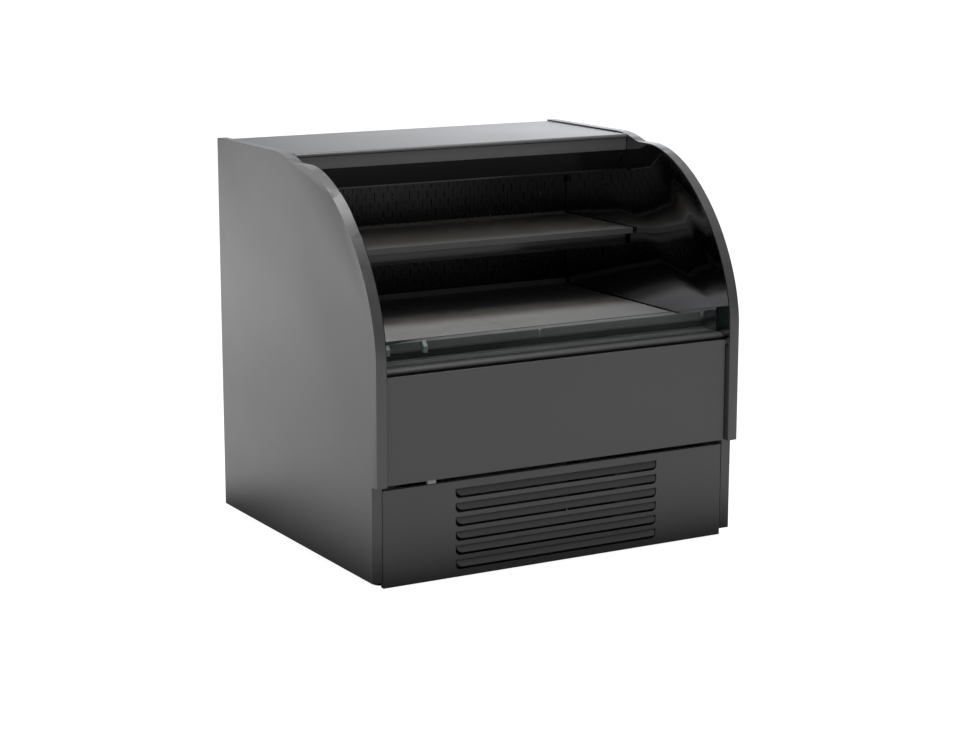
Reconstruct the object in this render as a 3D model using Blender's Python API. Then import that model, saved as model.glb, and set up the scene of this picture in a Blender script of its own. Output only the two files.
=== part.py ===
"""Open-front self-service refrigerated deli case, counter height, with one shelf.

The case stands on four levelling feet, with its width along X and its open front
facing -Y. Two moulded end panels carry an insulated tub, a rolled top with a canopy,
and a front panel. The refrigeration unit sits under the tub, behind a louvred
service panel. Units are metres, and the origin is on the floor under the middle.
"""
import math

import bmesh
import bpy
from mathutils import Matrix, Vector

# Overall size
WIDTH = 0.990
DEPTH = 0.862
TOP_Z = 0.9615
HALF = WIDTH / 2
FRONT_Y = -DEPTH / 2
BACK_Y = DEPTH / 2

# Clearances and stock thicknesses
GAP = 0.0003
SHEET = 0.002
THIN = 0.0015
END_THICK = 0.026
INNER_X = HALF - END_THICK
LINER_THICK = 0.002
TUB_X = INNER_X - GAP
LINER_X = TUB_X - LINER_THICK
CLEAR_X = LINER_X - GAP
FITTED_X = 0.4655

# Side profile: stepped front foot, straight front, long swept curve, shoulder, crown
END_BOTTOM_Z = 0.018
STEP_Y = FRONT_Y + 0.028
STEP_Z = 0.247
CURVE_Z = 0.538
SHOULDER_Y = -0.064
SHOULDER_Z = 0.942
CURVE_POWER = 1.72
CURVE_STEPS = 22
NOTCH_Y = -0.010
CROWN_Y = 0.090
CROWN_STEPS = 6

# Tub, nose and deck
TUB_BOTTOM_Z = 0.2525
TUB_FLOOR_Z = 0.285
TUB_RIM_Z = 0.4835
TUB_FRONT_Y = -0.407
TUB_LEDGE_Y = -0.3723
REAR_WALL_Y = 0.3845
REAR_SKIN_Y = 0.427
NOSE_FRONT_Y = -0.4095
NOSE_BACK_Y = -0.3822
NOSE_TOP_Z = 0.5132
GLASS_THICK = 0.006
GLASS_TOP_Z = 0.5725
GRILLE_FRONT_Y = -0.3755
GRILLE_BACK_Y = -0.3275
GRILLE_TOP_Z = 0.5127
DECK_Z = 0.5300
TRAY_FRONT_Y = -0.315
TRAY_BACK_Y = 0.320
TRAY_LIP_Z = 0.551
TRAY_HALF = 0.4615
BACK_WALL_Y = 0.328

# Shelf and canopy
SHELF_HALF = 0.4605
SHELF_FRONT_Y = -0.009
SHELF_BACK_Y = 0.322
SHELF_PLATE_Z = 0.7190
SHELF_LIP_TOP = 0.7220
SHELF_LIP_BOTTOM = 0.7075
TOP_PANEL_Z = 0.9575
ROLL_START_Y = 0.055
ROLL_FRONT_Y = 0.033
ROLL_DROP = 0.008
FASCIA_Y = 0.0345
FASCIA_BOTTOM_Z = 0.9175
BAFFLE_TOP = (0.0370, 0.9165)
BAFFLE_FOOT = (0.0770, 0.8640)
CEILING_Z = 0.868

# Machine space under the tub
RAIL_BOTTOM_Z = 0.022
RAIL_TOP_Z = 0.050
MACHINE_Z = RAIL_TOP_Z + GAP + SHEET + GAP
LOUVRE_COUNT = 6
LOUVRE_PITCH = 0.0341
LOUVRE_TOP_Z = 0.2155
LOUVRE_HEIGHT = 0.0236
LOUVRE_HALF = 0.278
LOUVRE_KERF = 0.0048
LOUVRE_TILT = math.radians(40)
FOOT_X = 0.449
FOOT_Y = (-0.350, 0.370)
EVAP_FAN_X = 0.180
EVAP_FAN_Z = 0.375
EVAP_FAN_R = 0.058
COND_FAN = (-0.120, 0.144)
COND_FAN_R = 0.078

FINISHES = {
    "charcoal": ((0.085, 0.086, 0.088), 0.0, 0.45),
    "black": ((0.012, 0.012, 0.013), 0.0, 0.40),
    "black_mirror": ((0.010, 0.010, 0.012), 0.9, 0.06),
    "galvanised": ((0.55, 0.56, 0.57), 0.9, 0.40),
    "fins": ((0.72, 0.73, 0.75), 0.9, 0.35),
    "copper": ((0.72, 0.38, 0.22), 1.0, 0.30),
    "foam": ((0.80, 0.80, 0.76), 0.0, 0.70),
    "glass": ((0.75, 0.85, 0.82), 0.0, 0.03),
    "light": ((1.00, 0.96, 0.88), 0.0, 0.35),
    "rubber": ((0.03, 0.03, 0.03), 0.0, 0.80),
    "plastic": ((0.04, 0.04, 0.045), 0.0, 0.50),
    "clear_plastic": ((0.72, 0.80, 0.77), 0.0, 0.20),
    "steel": ((0.50, 0.51, 0.53), 1.0, 0.35),
}
AXES = {"x": (1, 2, 0), "y": (0, 2, 1), "z": (0, 1, 2)}


def clear_scene():
    for item in list(bpy.data.objects):
        bpy.data.objects.remove(item, do_unlink=True)


def paint(item, finish):
    """Give an object its own Principled material."""
    colour, metallic, roughness = FINISHES[finish]
    material = bpy.data.materials.new(item.name + "_" + finish)
    material.use_nodes = True
    shader = material.node_tree.nodes["Principled BSDF"]
    shader.inputs["Base Color"].default_value = (*colour, 1.0)
    shader.inputs["Metallic"].default_value = metallic
    shader.inputs["Roughness"].default_value = roughness
    item.data.materials.append(material)


def link_mesh(name, bm):
    """Turn a bmesh into a linked object with outward normals."""
    bmesh.ops.recalc_face_normals(bm, faces=bm.faces)
    mesh = bpy.data.meshes.new(name)
    bm.to_mesh(mesh)
    bm.free()
    item = bpy.data.objects.new(name, mesh)
    bpy.context.scene.collection.objects.link(item)
    return item


def add_ring_solid(bm, rings):
    """Skin a row of equal rings and cap both ends."""
    count = len(rings[0])
    bm.faces.new(rings[0])
    bm.faces.new(rings[-1])
    for lower, upper in zip(rings, rings[1:]):
        for i in range(count):
            j = (i + 1) % count
            bm.faces.new((lower[i], lower[j], upper[j], upper[i]))


def add_prism(bm, outline, axis, low, high):
    """Extrude a flat outline along one axis, from low to high."""
    first, second, along = AXES[axis]
    rings = []
    for level in (low, high):
        ring = []
        for u, v in outline:
            point = Vector()
            point[first] = u
            point[second] = v
            point[along] = level
            ring.append(bm.verts.new(point))
        rings.append(ring)
    add_ring_solid(bm, rings)


def add_box(bm, low, high):
    corners = [(low[0], low[1]), (high[0], low[1]), (high[0], high[1]), (low[0], high[1])]
    add_prism(bm, corners, "z", low[2], high[2])


def add_turned(bm, profile, axis, centre, sides):
    """Turn a profile of (radius, distance along the axis) about an axis through centre."""
    first, second, along = AXES[axis]
    rings = []
    for radius, distance in profile:
        ring = []
        for i in range(sides):
            angle = 2 * math.pi * i / sides
            point = Vector(centre)
            point[first] += radius * math.cos(angle)
            point[second] += radius * math.sin(angle)
            point[along] += distance
            ring.append(bm.verts.new(point))
        rings.append(ring)
    add_ring_solid(bm, rings)


def prism(name, finish, outline, axis, low, high):
    bm = bmesh.new()
    add_prism(bm, outline, axis, low, high)
    item = link_mesh(name, bm)
    paint(item, finish)
    return item


def box(name, finish, low, high):
    bm = bmesh.new()
    add_box(bm, low, high)
    item = link_mesh(name, bm)
    paint(item, finish)
    return item


def turned(name, finish, profile, axis, centre, sides=16):
    bm = bmesh.new()
    add_turned(bm, profile, axis, centre, sides)
    item = link_mesh(name, bm)
    for face in item.data.polygons:
        face.use_smooth = True
    item.data.set_sharp_from_angle(angle=math.radians(40))
    paint(item, finish)
    return item


def combine(item, tool_bm, operation, label):
    """Join or cut an object with a tool mesh, through an exact Boolean."""
    tool = link_mesh(item.name + "_" + label, tool_bm)
    tool.hide_render = True
    tool.display_type = "WIRE"
    modifier = item.modifiers.new(label, "BOOLEAN")
    modifier.operation = operation
    modifier.solver = "EXACT"
    modifier.object = tool
    return item


def set_origin(item, point):
    """Move an object's origin to a point without moving its mesh in the world."""
    item.data.transform(Matrix.Translation(-Vector(point)))
    item.location = point


def tube(name, finish, route, radius, steps=4):
    """Bend a round pipe along a smooth line through its route's points."""
    anchors = [Vector(point) for point in route]
    points = [anchors[0]]
    for i in range(len(anchors) - 1):
        before = anchors[max(i - 1, 0)]
        after = anchors[min(i + 2, len(anchors) - 1)]
        start = anchors[i]
        stop = anchors[i + 1]
        for k in range(1, steps + 1):
            t = k / steps
            leave = (stop - before) * 0.5
            arrive = (after - start) * 0.5
            points.append(
                start * (2 * t**3 - 3 * t**2 + 1)
                + leave * (t**3 - 2 * t**2 + t)
                + stop * (3 * t**2 - 2 * t**3)
                + arrive * (t**3 - t**2)
            )
    curve = bpy.data.curves.new(name, "CURVE")
    curve.dimensions = "3D"
    curve.bevel_depth = radius
    curve.bevel_resolution = 2
    curve.resolution_u = 1
    curve.render_resolution_u = 0
    curve.use_fill_caps = True
    spline = curve.splines.new("POLY")
    spline.points.add(len(points) - 1)
    for slot, point in zip(spline.points, points):
        slot.co = (*point, 1.0)
    item = bpy.data.objects.new(name, curve)
    bpy.context.scene.collection.objects.link(item)
    paint(item, finish)
    return item


def front_curve(inset):
    """Points up the swept front edge, from its straight foot to the shoulder."""
    reach = SHOULDER_Y - FRONT_Y - inset
    rise = SHOULDER_Z - CURVE_Z - inset
    points = []
    for i in range(CURVE_STEPS + 1):
        angle = math.pi / 2 * i / CURVE_STEPS
        across = max(math.cos(angle), 0.0) ** (2 / CURVE_POWER)
        up = math.sin(angle) ** (2 / CURVE_POWER)
        points.append((SHOULDER_Y - reach * across, CURVE_Z + rise * up))
    return points


def crown_curve():
    """Points up the low arc from the notch to the flat top edge."""
    span = CROWN_Y - NOTCH_Y
    rise = TOP_Z - SHOULDER_Z
    radius = (span**2 + rise**2) / (2 * rise)
    points = []
    for i in range(CROWN_STEPS + 1):
        y = NOTCH_Y + span * i / CROWN_STEPS
        drop = radius - math.sqrt(radius**2 - (CROWN_Y - y) ** 2)
        points.append((y, TOP_Z - drop))
    return points


def make_ends():
    """End panels with their mirrored inner liners."""
    outline = [(BACK_Y, END_BOTTOM_Z), (STEP_Y, END_BOTTOM_Z), (STEP_Y, STEP_Z), (FRONT_Y, STEP_Z)]
    outline += front_curve(0.0) + crown_curve() + [(BACK_Y, TOP_Z)]
    inset = 0.0015
    liner_top = TOP_PANEL_Z - 0.010
    liner = [(REAR_WALL_Y - 0.0005, TUB_RIM_Z + GAP), (FRONT_Y + inset, TUB_RIM_Z + GAP)]
    liner += front_curve(inset)
    liner += [(NOTCH_Y, SHOULDER_Z - inset), (0.012, liner_top), (REAR_WALL_Y - 0.0005, liner_top)]
    for side, sign in (("left", -1), ("right", 1)):
        inner, outer = sorted((sign * INNER_X, sign * HALF))
        prism(side + "_end_panel", "charcoal", outline, "x", inner, outer)
        inner, outer = sorted((sign * LINER_X, sign * TUB_X))
        prism(side + "_end_liner", "black_mirror", liner, "x", inner, outer)


def make_canopy():
    """Rolled top panel, fascia, sloping baffle, lamp and the discharge ceiling."""
    roll_steps = 5
    outer = []
    inner = []
    for i in range(roll_steps + 1):
        angle = math.pi / 2 * i / roll_steps
        reach = ROLL_START_Y - ROLL_FRONT_Y
        outer.append((ROLL_START_Y - reach * math.sin(angle), TOP_PANEL_Z - ROLL_DROP * (1 - math.cos(angle))))
        inner.append((
            ROLL_START_Y - (reach - SHEET) * math.sin(angle),
            TOP_PANEL_Z - SHEET - (ROLL_DROP - SHEET) * (1 - math.cos(angle)),
        ))
    rear_y = REAR_SKIN_Y + THIN
    outline = [(rear_y, TOP_PANEL_Z)] + outer + inner[::-1] + [(rear_y, TOP_PANEL_Z - SHEET)]
    prism("top_panel", "charcoal", outline, "x", -CLEAR_X, CLEAR_X)

    fascia_top = TOP_PANEL_Z - ROLL_DROP - 0.001
    back = FASCIA_Y + SHEET
    outline = [
        (FASCIA_Y, FASCIA_BOTTOM_Z), (back, FASCIA_BOTTOM_Z), (back, fascia_top - SHEET),
        (ROLL_START_Y, fascia_top - SHEET), (ROLL_START_Y, fascia_top), (FASCIA_Y, fascia_top),
    ]
    prism("canopy_fascia", "charcoal", outline, "x", -FITTED_X, FITTED_X)

    slope = Vector(BAFFLE_FOOT) - Vector(BAFFLE_TOP)
    normal = Vector((-slope.y, slope.x)).normalized() * SHEET
    outline = [
        BAFFLE_TOP, BAFFLE_FOOT,
        (BAFFLE_FOOT[0] + normal.x, BAFFLE_FOOT[1] + normal.y),
        (BAFFLE_TOP[0] + normal.x, BAFFLE_TOP[1] + normal.y),
    ]
    prism("canopy_baffle", "black", outline, "x", -FITTED_X, FITTED_X)

    lamp_y = (0.084, 0.112)
    lens_top = CEILING_Z - 0.0018
    box("canopy_light_housing", "black", (-0.430, lamp_y[0], lens_top + GAP), (0.430, lamp_y[1], 0.8905))
    box("canopy_light_lens", "light",
        (-0.425, lamp_y[0] + 0.002, lens_top - 0.007), (0.425, lamp_y[1] - 0.002, lens_top))

    ceiling = box("discharge_ceiling", "black",
                  (-FITTED_X, lamp_y[1] + 0.003, CEILING_Z), (FITTED_X, BACK_WALL_Y - 0.0005, CEILING_Z + SHEET))
    slots = bmesh.new()
    slot_pitch = 0.056
    for i in range(16):
        x = (i - 7.5) * slot_pitch
        add_box(slots, (x - 0.024, 0.125, CEILING_Z - 0.01), (x + 0.024, 0.155, CEILING_Z + 0.01))
    combine(ceiling, slots, "DIFFERENCE", "slots")


def make_shell():
    """Insulated tub, rear skins and the slotted back wall of the display space."""
    box("tub_floor", "foam", (-TUB_X, TUB_LEDGE_Y + GAP, TUB_BOTTOM_Z), (TUB_X, REAR_WALL_Y - GAP, TUB_FLOOR_Z))
    box("tub_front_wall", "foam", (-TUB_X, TUB_FRONT_Y, TUB_BOTTOM_Z), (TUB_X, TUB_LEDGE_Y, TUB_RIM_Z))
    box("rear_insulated_wall", "foam",
        (-TUB_X, REAR_WALL_Y, TUB_BOTTOM_Z), (TUB_X, REAR_SKIN_Y - GAP, TOP_PANEL_Z - SHEET - GAP))
    skin_back = REAR_SKIN_Y + THIN
    box("rear_panel", "charcoal",
        (-CLEAR_X, REAR_SKIN_Y, TUB_BOTTOM_Z), (CLEAR_X, skin_back, TOP_PANEL_Z - SHEET - GAP))

    grille = box("rear_vent_grille", "charcoal",
                 (-CLEAR_X, REAR_SKIN_Y, RAIL_BOTTOM_Z), (CLEAR_X, skin_back, TUB_BOTTOM_Z - GAP))
    slots = bmesh.new()
    for column in (-0.30, -0.06):
        for row in range(7):
            z = 0.072 + row * 0.022
            add_box(slots, (column - 0.10, REAR_SKIN_Y - 0.01, z), (column + 0.10, skin_back + 0.01, z + 0.009))
    add_box(slots, (0.3395, REAR_SKIN_Y - 0.01, 0.1855), (0.3705, skin_back + 0.01, 0.2105))
    combine(grille, slots, "DIFFERENCE", "slots")

    wall = box("back_wall_panel", "black",
               (-FITTED_X, BACK_WALL_Y, DECK_Z - 0.03), (FITTED_X, BACK_WALL_Y + SHEET, CEILING_Z - GAP))
    slots = bmesh.new()
    wide_pitch = 0.0762
    for row_z in (0.575, 0.765):
        for i in range(12):
            x = (i - 5.5) * wide_pitch
            add_box(slots, (x - 0.002, BACK_WALL_Y - 0.01, row_z), (x + 0.002, BACK_WALL_Y + 0.01, row_z + 0.022))
    for sign in (-1, 1):
        near, far = sorted((sign * (FITTED_X - 0.008), sign * (FITTED_X + 0.01)))
        add_box(slots, (near, BACK_WALL_Y - 0.01, 0.805), (far, BACK_WALL_Y + 0.01, 0.821))
    combine(wall, slots, "DIFFERENCE", "slots")


def make_front():
    """Nose rail, low front glass, return grille, front panel and service panel."""
    nose = [(NOSE_BACK_Y, TUB_RIM_Z + GAP), (NOSE_BACK_Y, NOSE_TOP_Z)]
    reach = 0.019
    drop = 0.0095
    recess_y = -0.3985
    recess_z = 0.5005
    for i in range(8):
        angle = math.pi / 2 * i / 7
        nose.append((
            NOSE_FRONT_Y + reach * (1 - math.sin(angle)),
            NOSE_TOP_Z - drop * (1 - math.cos(angle)),
        ))
    nose += [(NOSE_FRONT_Y + 0.002, recess_z), (recess_y, recess_z), (recess_y, TUB_RIM_Z + GAP)]
    prism("front_nose_rail", "charcoal", nose, "x", -FITTED_X, FITTED_X)

    glass_front = NOSE_BACK_Y + GAP
    box("front_glass", "glass",
        (-FITTED_X, glass_front, TUB_RIM_Z + GAP), (FITTED_X, glass_front + GLASS_THICK, GLASS_TOP_Z))

    leg = 0.0016
    outline = [
        (GRILLE_FRONT_Y, TUB_RIM_Z + GAP), (GRILLE_FRONT_Y + leg, TUB_RIM_Z + GAP),
        (GRILLE_FRONT_Y + leg, GRILLE_TOP_Z - leg), (GRILLE_BACK_Y - leg, GRILLE_TOP_Z - leg),
        (GRILLE_BACK_Y - leg, 0.5003), (GRILLE_BACK_Y, 0.5003),
        (GRILLE_BACK_Y, GRILLE_TOP_Z), (GRILLE_FRONT_Y, GRILLE_TOP_Z),
    ]
    grille = prism("return_air_grille", "charcoal", outline, "x", -FITTED_X, FITTED_X)
    slots = bmesh.new()
    slot_pitch = 0.058
    for i in range(16):
        x = (i - 7.5) * slot_pitch
        add_box(slots, (x - 0.024, GRILLE_FRONT_Y + 0.018, 0.505), (x + 0.024, GRILLE_BACK_Y - 0.018, 0.52))
    combine(grille, slots, "DIFFERENCE", "slots")

    face = FRONT_Y + 0.0105
    half = 0.462
    low = STEP_Z + 0.0015
    high = 0.4975
    tab_low = high - 0.010
    tab = 0.466
    outline = [
        (-half, low), (half, low), (half, tab_low), (tab, tab_low), (tab, high),
        (-tab, high), (-tab, tab_low), (-half, tab_low),
    ]
    panel = prism("front_panel", "charcoal", outline, "y", face, face + SHEET)
    flanges = bmesh.new()
    for bottom in (low, high - SHEET):
        add_box(flanges, (-half + 0.001, face + 0.001, bottom), (half - 0.001, face + 0.010, bottom + SHEET))
    combine(panel, flanges, "UNION", "flanges")


def make_service_panel():
    """Lift-off panel over the condensing unit, with flaps bent outward under each slot's top edge."""
    half = 0.4675
    low = 0.004
    high = 0.2335
    depth = 0.012
    back = STEP_Y + SHEET
    outline = [
        (STEP_Y, low), (STEP_Y + depth, low), (STEP_Y + depth, low + SHEET), (back, low + SHEET),
        (back, high - SHEET), (STEP_Y + depth, high - SHEET), (STEP_Y + depth, high), (STEP_Y, high),
    ]
    panel = prism("service_panel", "charcoal", outline, "x", -half, half)
    windows = bmesh.new()
    flaps = bmesh.new()
    flap_length = LOUVRE_HEIGHT - LOUVRE_KERF
    flap_half = LOUVRE_HALF - LOUVRE_KERF
    for i in range(LOUVRE_COUNT):
        top = LOUVRE_TOP_Z - i * LOUVRE_PITCH
        add_box(windows, (-LOUVRE_HALF, STEP_Y - 0.01, top - LOUVRE_HEIGHT), (LOUVRE_HALF, back + 0.004, top))
        tip_y = STEP_Y - flap_length * math.sin(LOUVRE_TILT)
        tip_z = top - flap_length * math.cos(LOUVRE_TILT)
        flap = [
            (STEP_Y + 0.0003, top + 0.001), (back - 0.0002, top + 0.001),
            (tip_y + SHEET * math.cos(LOUVRE_TILT), tip_z - SHEET * math.sin(LOUVRE_TILT)), (tip_y, tip_z),
        ]
        add_prism(flaps, flap, "x", -flap_half, flap_half)
    combine(panel, windows, "DIFFERENCE", "windows")
    combine(panel, flaps, "UNION", "flaps")
    set_origin(panel, (0, STEP_Y, low))


def make_deck():
    """Rails, the two lift-out trays and the clips on the left tray's lip."""
    outline = [
        (-0.333, 0.470), (-0.296, 0.470), (-0.296, DECK_Z), (-0.3105, DECK_Z),
        (-0.3105, GRILLE_TOP_Z), (GRILLE_BACK_Y + 0.0005, GRILLE_TOP_Z),
        (GRILLE_BACK_Y + 0.0005, 0.500), (-0.333, 0.500),
    ]
    prism("deck_front_rail", "charcoal", outline, "x", -FITTED_X, FITTED_X)
    box("deck_rear_rail", "galvanised", (-FITTED_X, 0.300, 0.490), (FITTED_X, BACK_WALL_Y - GAP, DECK_Z))

    floor_low = DECK_Z + GAP
    floor_high = floor_low + SHEET
    outline = [
        (TRAY_FRONT_Y, floor_low), (TRAY_BACK_Y, floor_low), (TRAY_BACK_Y, 0.545),
        (TRAY_BACK_Y - THIN, 0.545), (TRAY_BACK_Y - THIN, floor_high), (TRAY_FRONT_Y + THIN, floor_high),
        (TRAY_FRONT_Y + THIN, TRAY_LIP_Z), (TRAY_FRONT_Y, TRAY_LIP_Z),
    ]
    seam = 0.0008
    prism("left_deck_tray", "charcoal", outline, "x", -TRAY_HALF, -seam)
    prism("right_deck_tray", "charcoal", outline, "x", seam, TRAY_HALF)

    hook_back = TRAY_FRONT_Y + THIN + GAP
    outline = [
        (hook_back + THIN, 0.5535), (hook_back + THIN, 0.545), (hook_back, 0.545), (hook_back, TRAY_LIP_Z + GAP),
        (TRAY_FRONT_Y - GAP, TRAY_LIP_Z + GAP), (TRAY_FRONT_Y - GAP, 0.5258),
        (-0.3265, 0.5258), (-0.3265, 0.5411), (TRAY_FRONT_Y, 0.5535),
    ]
    for name, x in (("left_divider_clip", -0.410), ("right_divider_clip", -0.3126)):
        clip = prism(name, "clear_plastic", outline, "x", x - 0.00525, x + 0.00525)
        set_origin(clip, (x, TRAY_FRONT_Y, TRAY_LIP_Z))


def make_shelf():
    """Shelf pan with its lamp, on two cantilever brackets."""
    plate_low = SHELF_PLATE_Z - THIN
    lip_back = SHELF_FRONT_Y + THIN
    outline = [
        (SHELF_FRONT_Y, SHELF_LIP_BOTTOM), (lip_back, SHELF_LIP_BOTTOM), (lip_back, plate_low),
        (SHELF_BACK_Y, plate_low), (SHELF_BACK_Y, 0.727), (SHELF_BACK_Y - THIN, 0.727),
        (SHELF_BACK_Y - THIN, SHELF_PLATE_Z), (lip_back, SHELF_PLATE_Z),
        (lip_back, SHELF_LIP_TOP), (SHELF_FRONT_Y, SHELF_LIP_TOP),
    ]
    prism("shelf_pan", "charcoal", outline, "x", -SHELF_HALF, SHELF_HALF)
    under = plate_low - GAP
    box("shelf_light_housing", "black", (-SHELF_HALF, 0.022, 0.674), (SHELF_HALF, 0.052, under))
    box("shelf_light_lens", "light", (-0.440, -0.004, 0.710), (0.440, 0.018, under))
    wall = BACK_WALL_Y - 0.0005
    outline = [
        (wall, under), (0.0625, under), (0.0625, 0.702), (0.140, 0.685), (0.300, 0.660), (wall, 0.660),
    ]
    for side, sign in (("left", -1), ("right", 1)):
        inner, outer = sorted((sign * 0.450, sign * 0.453))
        prism(side + "_shelf_bracket", "black", outline, "x", inner, outer)


def make_fan(name, centre, radius, hub_radius, half_depth, blade_count):
    """Axial fan about a Y axis, with twisted blades on a round hub."""
    fan = turned(name, "plastic",
                 [(hub_radius * 0.8, -half_depth), (hub_radius, -half_depth + 0.002), (hub_radius, half_depth)],
                 "y", centre, sides=18)
    blades = bmesh.new()
    pitch = math.radians(32)
    root_half = hub_radius * 0.55
    tip_half = radius * 0.30
    thick = 0.0014
    for i in range(blade_count):
        turn = Matrix.Rotation(2 * math.pi * i / blade_count, 4, "Y")
        rings = []
        for reach, half, twist in ((hub_radius * 0.7, root_half, pitch), (radius, tip_half, pitch * 0.62)):
            ring = []
            for along, across in ((-half, -thick), (half, -thick), (half, thick), (-half, thick)):
                y = along * math.sin(twist) + across * math.cos(twist)
                x = along * math.cos(twist) - across * math.sin(twist)
                height = math.sqrt(max(reach**2 - x**2, (reach * 0.5) ** 2))
                ring.append(blades.verts.new(turn @ Vector((x, y, height)) + Vector(centre)))
            rings.append(ring)
        add_ring_solid(blades, rings)
    combine(fan, blades, "UNION", "blades")
    for piece in (fan, fan.modifiers[0].object):
        piece.data.transform(Matrix.Translation(-Vector(centre)))
        piece.location = centre


def make_motor(name, centre, radius, length, foot_z):
    """Fan motor on a pedestal, behind its fan on the same Y axis."""
    motor = turned(name, "steel", [(radius, 0.0), (radius, length * 0.8), (radius * 0.7, length)], "y", centre)
    pedestal = bmesh.new()
    x, y, z = centre
    add_box(pedestal, (x - 0.011, y + 0.006, foot_z), (x + 0.011, y + length * 0.7, z))
    combine(motor, pedestal, "UNION", "pedestal")


def comb_outline(low, high, bottom, top, teeth, depth):
    """A block outline with square grooves along its lower and upper edges."""
    pitch = (high - low) / (2 * teeth + 1)
    lower = []
    upper = []
    for i in range(2 * teeth + 1):
        left = low + i * pitch
        right = left + pitch
        inset = depth if i % 2 else 0.0
        lower += [(left, bottom + inset), (right, bottom + inset)]
        upper += [(left, top - inset), (right, top - inset)]
    return lower + upper[::-1]


def make_cold_side():
    """Evaporator coil with two fans in a plenum wall, under the deck."""
    plate = box("fan_plenum", "galvanised",
                (-FITTED_X, -0.062, TUB_FLOOR_Z + GAP), (FITTED_X, -0.0595, DECK_Z - 0.0002))
    holes = bmesh.new()
    for sign in (-1, 1):
        add_turned(holes, [(EVAP_FAN_R + 0.004, -0.02), (EVAP_FAN_R + 0.004, 0.02)], "y",
                   (sign * EVAP_FAN_X, -0.060, EVAP_FAN_Z), 24)
    combine(plate, holes, "DIFFERENCE", "holes")
    for side, sign in (("left", -1), ("right", 1)):
        x = sign * EVAP_FAN_X
        make_fan(side + "_evaporator_fan", (x, -0.043, EVAP_FAN_Z), EVAP_FAN_R, 0.018, 0.008, 5)
        make_motor(side + "_fan_motor", (x, -0.031, EVAP_FAN_Z), 0.028, 0.045, TUB_FLOOR_Z + GAP)
    outline = comb_outline(-0.400, 0.360, 0.300, 0.430, 10, 0.006)
    prism("evaporator_coil", "fins", outline, "y", 0.040, 0.200)


def make_base():
    """Rails, cross members and levelling feet."""
    rail_inner = 0.430
    for side, sign in (("left", -1), ("right", 1)):
        inner, outer = sorted((sign * rail_inner, sign * TUB_X))
        box(side + "_base_rail", "galvanised", (inner, -0.385, RAIL_BOTTOM_Z), (outer, 0.415, RAIL_TOP_Z))
    cross_x = rail_inner - GAP
    for name, low, high in (("front_cross_member", -0.385, -0.355), ("rear_cross_member", 0.385, 0.415)):
        box(name, "galvanised", (-cross_x, low, RAIL_BOTTOM_Z), (cross_x, high, RAIL_TOP_Z))
    profile = [(0.018, 0.0), (0.018, 0.004), (0.011, 0.0075), (0.006, 0.008), (0.006, RAIL_BOTTOM_Z - GAP)]
    for side, sign in (("left", -1), ("right", 1)):
        for end, y in (("front", FOOT_Y[0]), ("rear", FOOT_Y[1])):
            centre = (sign * FOOT_X, y, 0.0)
            foot = turned(f"{side}_{end}_foot", "rubber", profile, "z", centre, sides=12)
            set_origin(foot, centre)


def make_hot_side():
    """Condensing unit on its tray."""
    box("condensing_unit_tray", "galvanised",
        (-0.429, -0.380, RAIL_TOP_Z + GAP), (0.429, 0.410, RAIL_TOP_Z + GAP + SHEET))
    coil_low = MACHINE_Z + 0.001
    coil_high = 0.234
    outline = comb_outline(-0.300, 0.060, coil_low, coil_high, 8, 0.005)
    prism("condenser_coil", "fins", outline, "y", -0.360, -0.310)

    shroud = box("condenser_shroud", "black", (-0.300, -0.3095, coil_low), (0.060, -0.260, coil_high))
    tools = bmesh.new()
    add_box(tools, (-0.298, -0.33, coil_low + SHEET), (0.058, -0.262, coil_high - SHEET))
    combine(shroud, tools, "DIFFERENCE", "hollow")
    tools = bmesh.new()
    add_turned(tools, [(COND_FAN_R + 0.004, -0.03), (COND_FAN_R + 0.004, 0.03)], "y",
               (COND_FAN[0], -0.262, COND_FAN[1]), 28)
    combine(shroud, tools, "DIFFERENCE", "hole")
    make_fan("condenser_fan", (COND_FAN[0], -0.241, COND_FAN[1]), COND_FAN_R, 0.023, 0.010, 5)
    make_motor("condenser_fan_motor", (COND_FAN[0], -0.227, COND_FAN[1]), 0.036, 0.055, MACHINE_Z)

    dome = [(0.070, 0.0), (0.082, 0.010), (0.085, 0.060), (0.085, 0.110), (0.074, 0.142), (0.045, 0.162)]
    turned("compressor", "black", dome, "z", (-0.120, 0.030, MACHINE_Z), sides=24)
    drier = [(0.004, -0.10), (0.004, -0.075), (0.016, -0.062), (0.016, 0.062), (0.004, 0.075), (0.004, 0.10)]
    turned("filter_drier", "copper", drier, "y", (0.120, -0.120, 0.100), sides=12)
    tube("discharge_line", "copper",
         [(-0.0340, 0.030, 0.140), (0.030, 0.030, 0.142), (0.078, 0.000, 0.160), (0.085, -0.120, 0.190),
          (0.085, -0.300, 0.200), (0.080, -0.335, 0.200), (0.061, -0.335, 0.200)], 0.004)
    tube("suction_line", "copper",
         [(-0.020, 0.190, TUB_BOTTOM_Z - 0.002), (-0.020, 0.190, 0.215), (-0.045, 0.188, 0.165),
          (-0.105, 0.168, 0.145), (-0.120, 0.140, 0.143), (-0.120, 0.116, 0.143)], 0.006)

    pan = box("condensate_pan", "plastic", (0.130, 0.120, MACHINE_Z), (0.400, 0.375, 0.100))
    hollow = bmesh.new()
    add_box(hollow, (0.133, 0.123, MACHINE_Z + 0.003), (0.397, 0.372, 0.12))
    combine(pan, hollow, "DIFFERENCE", "hollow")


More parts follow.
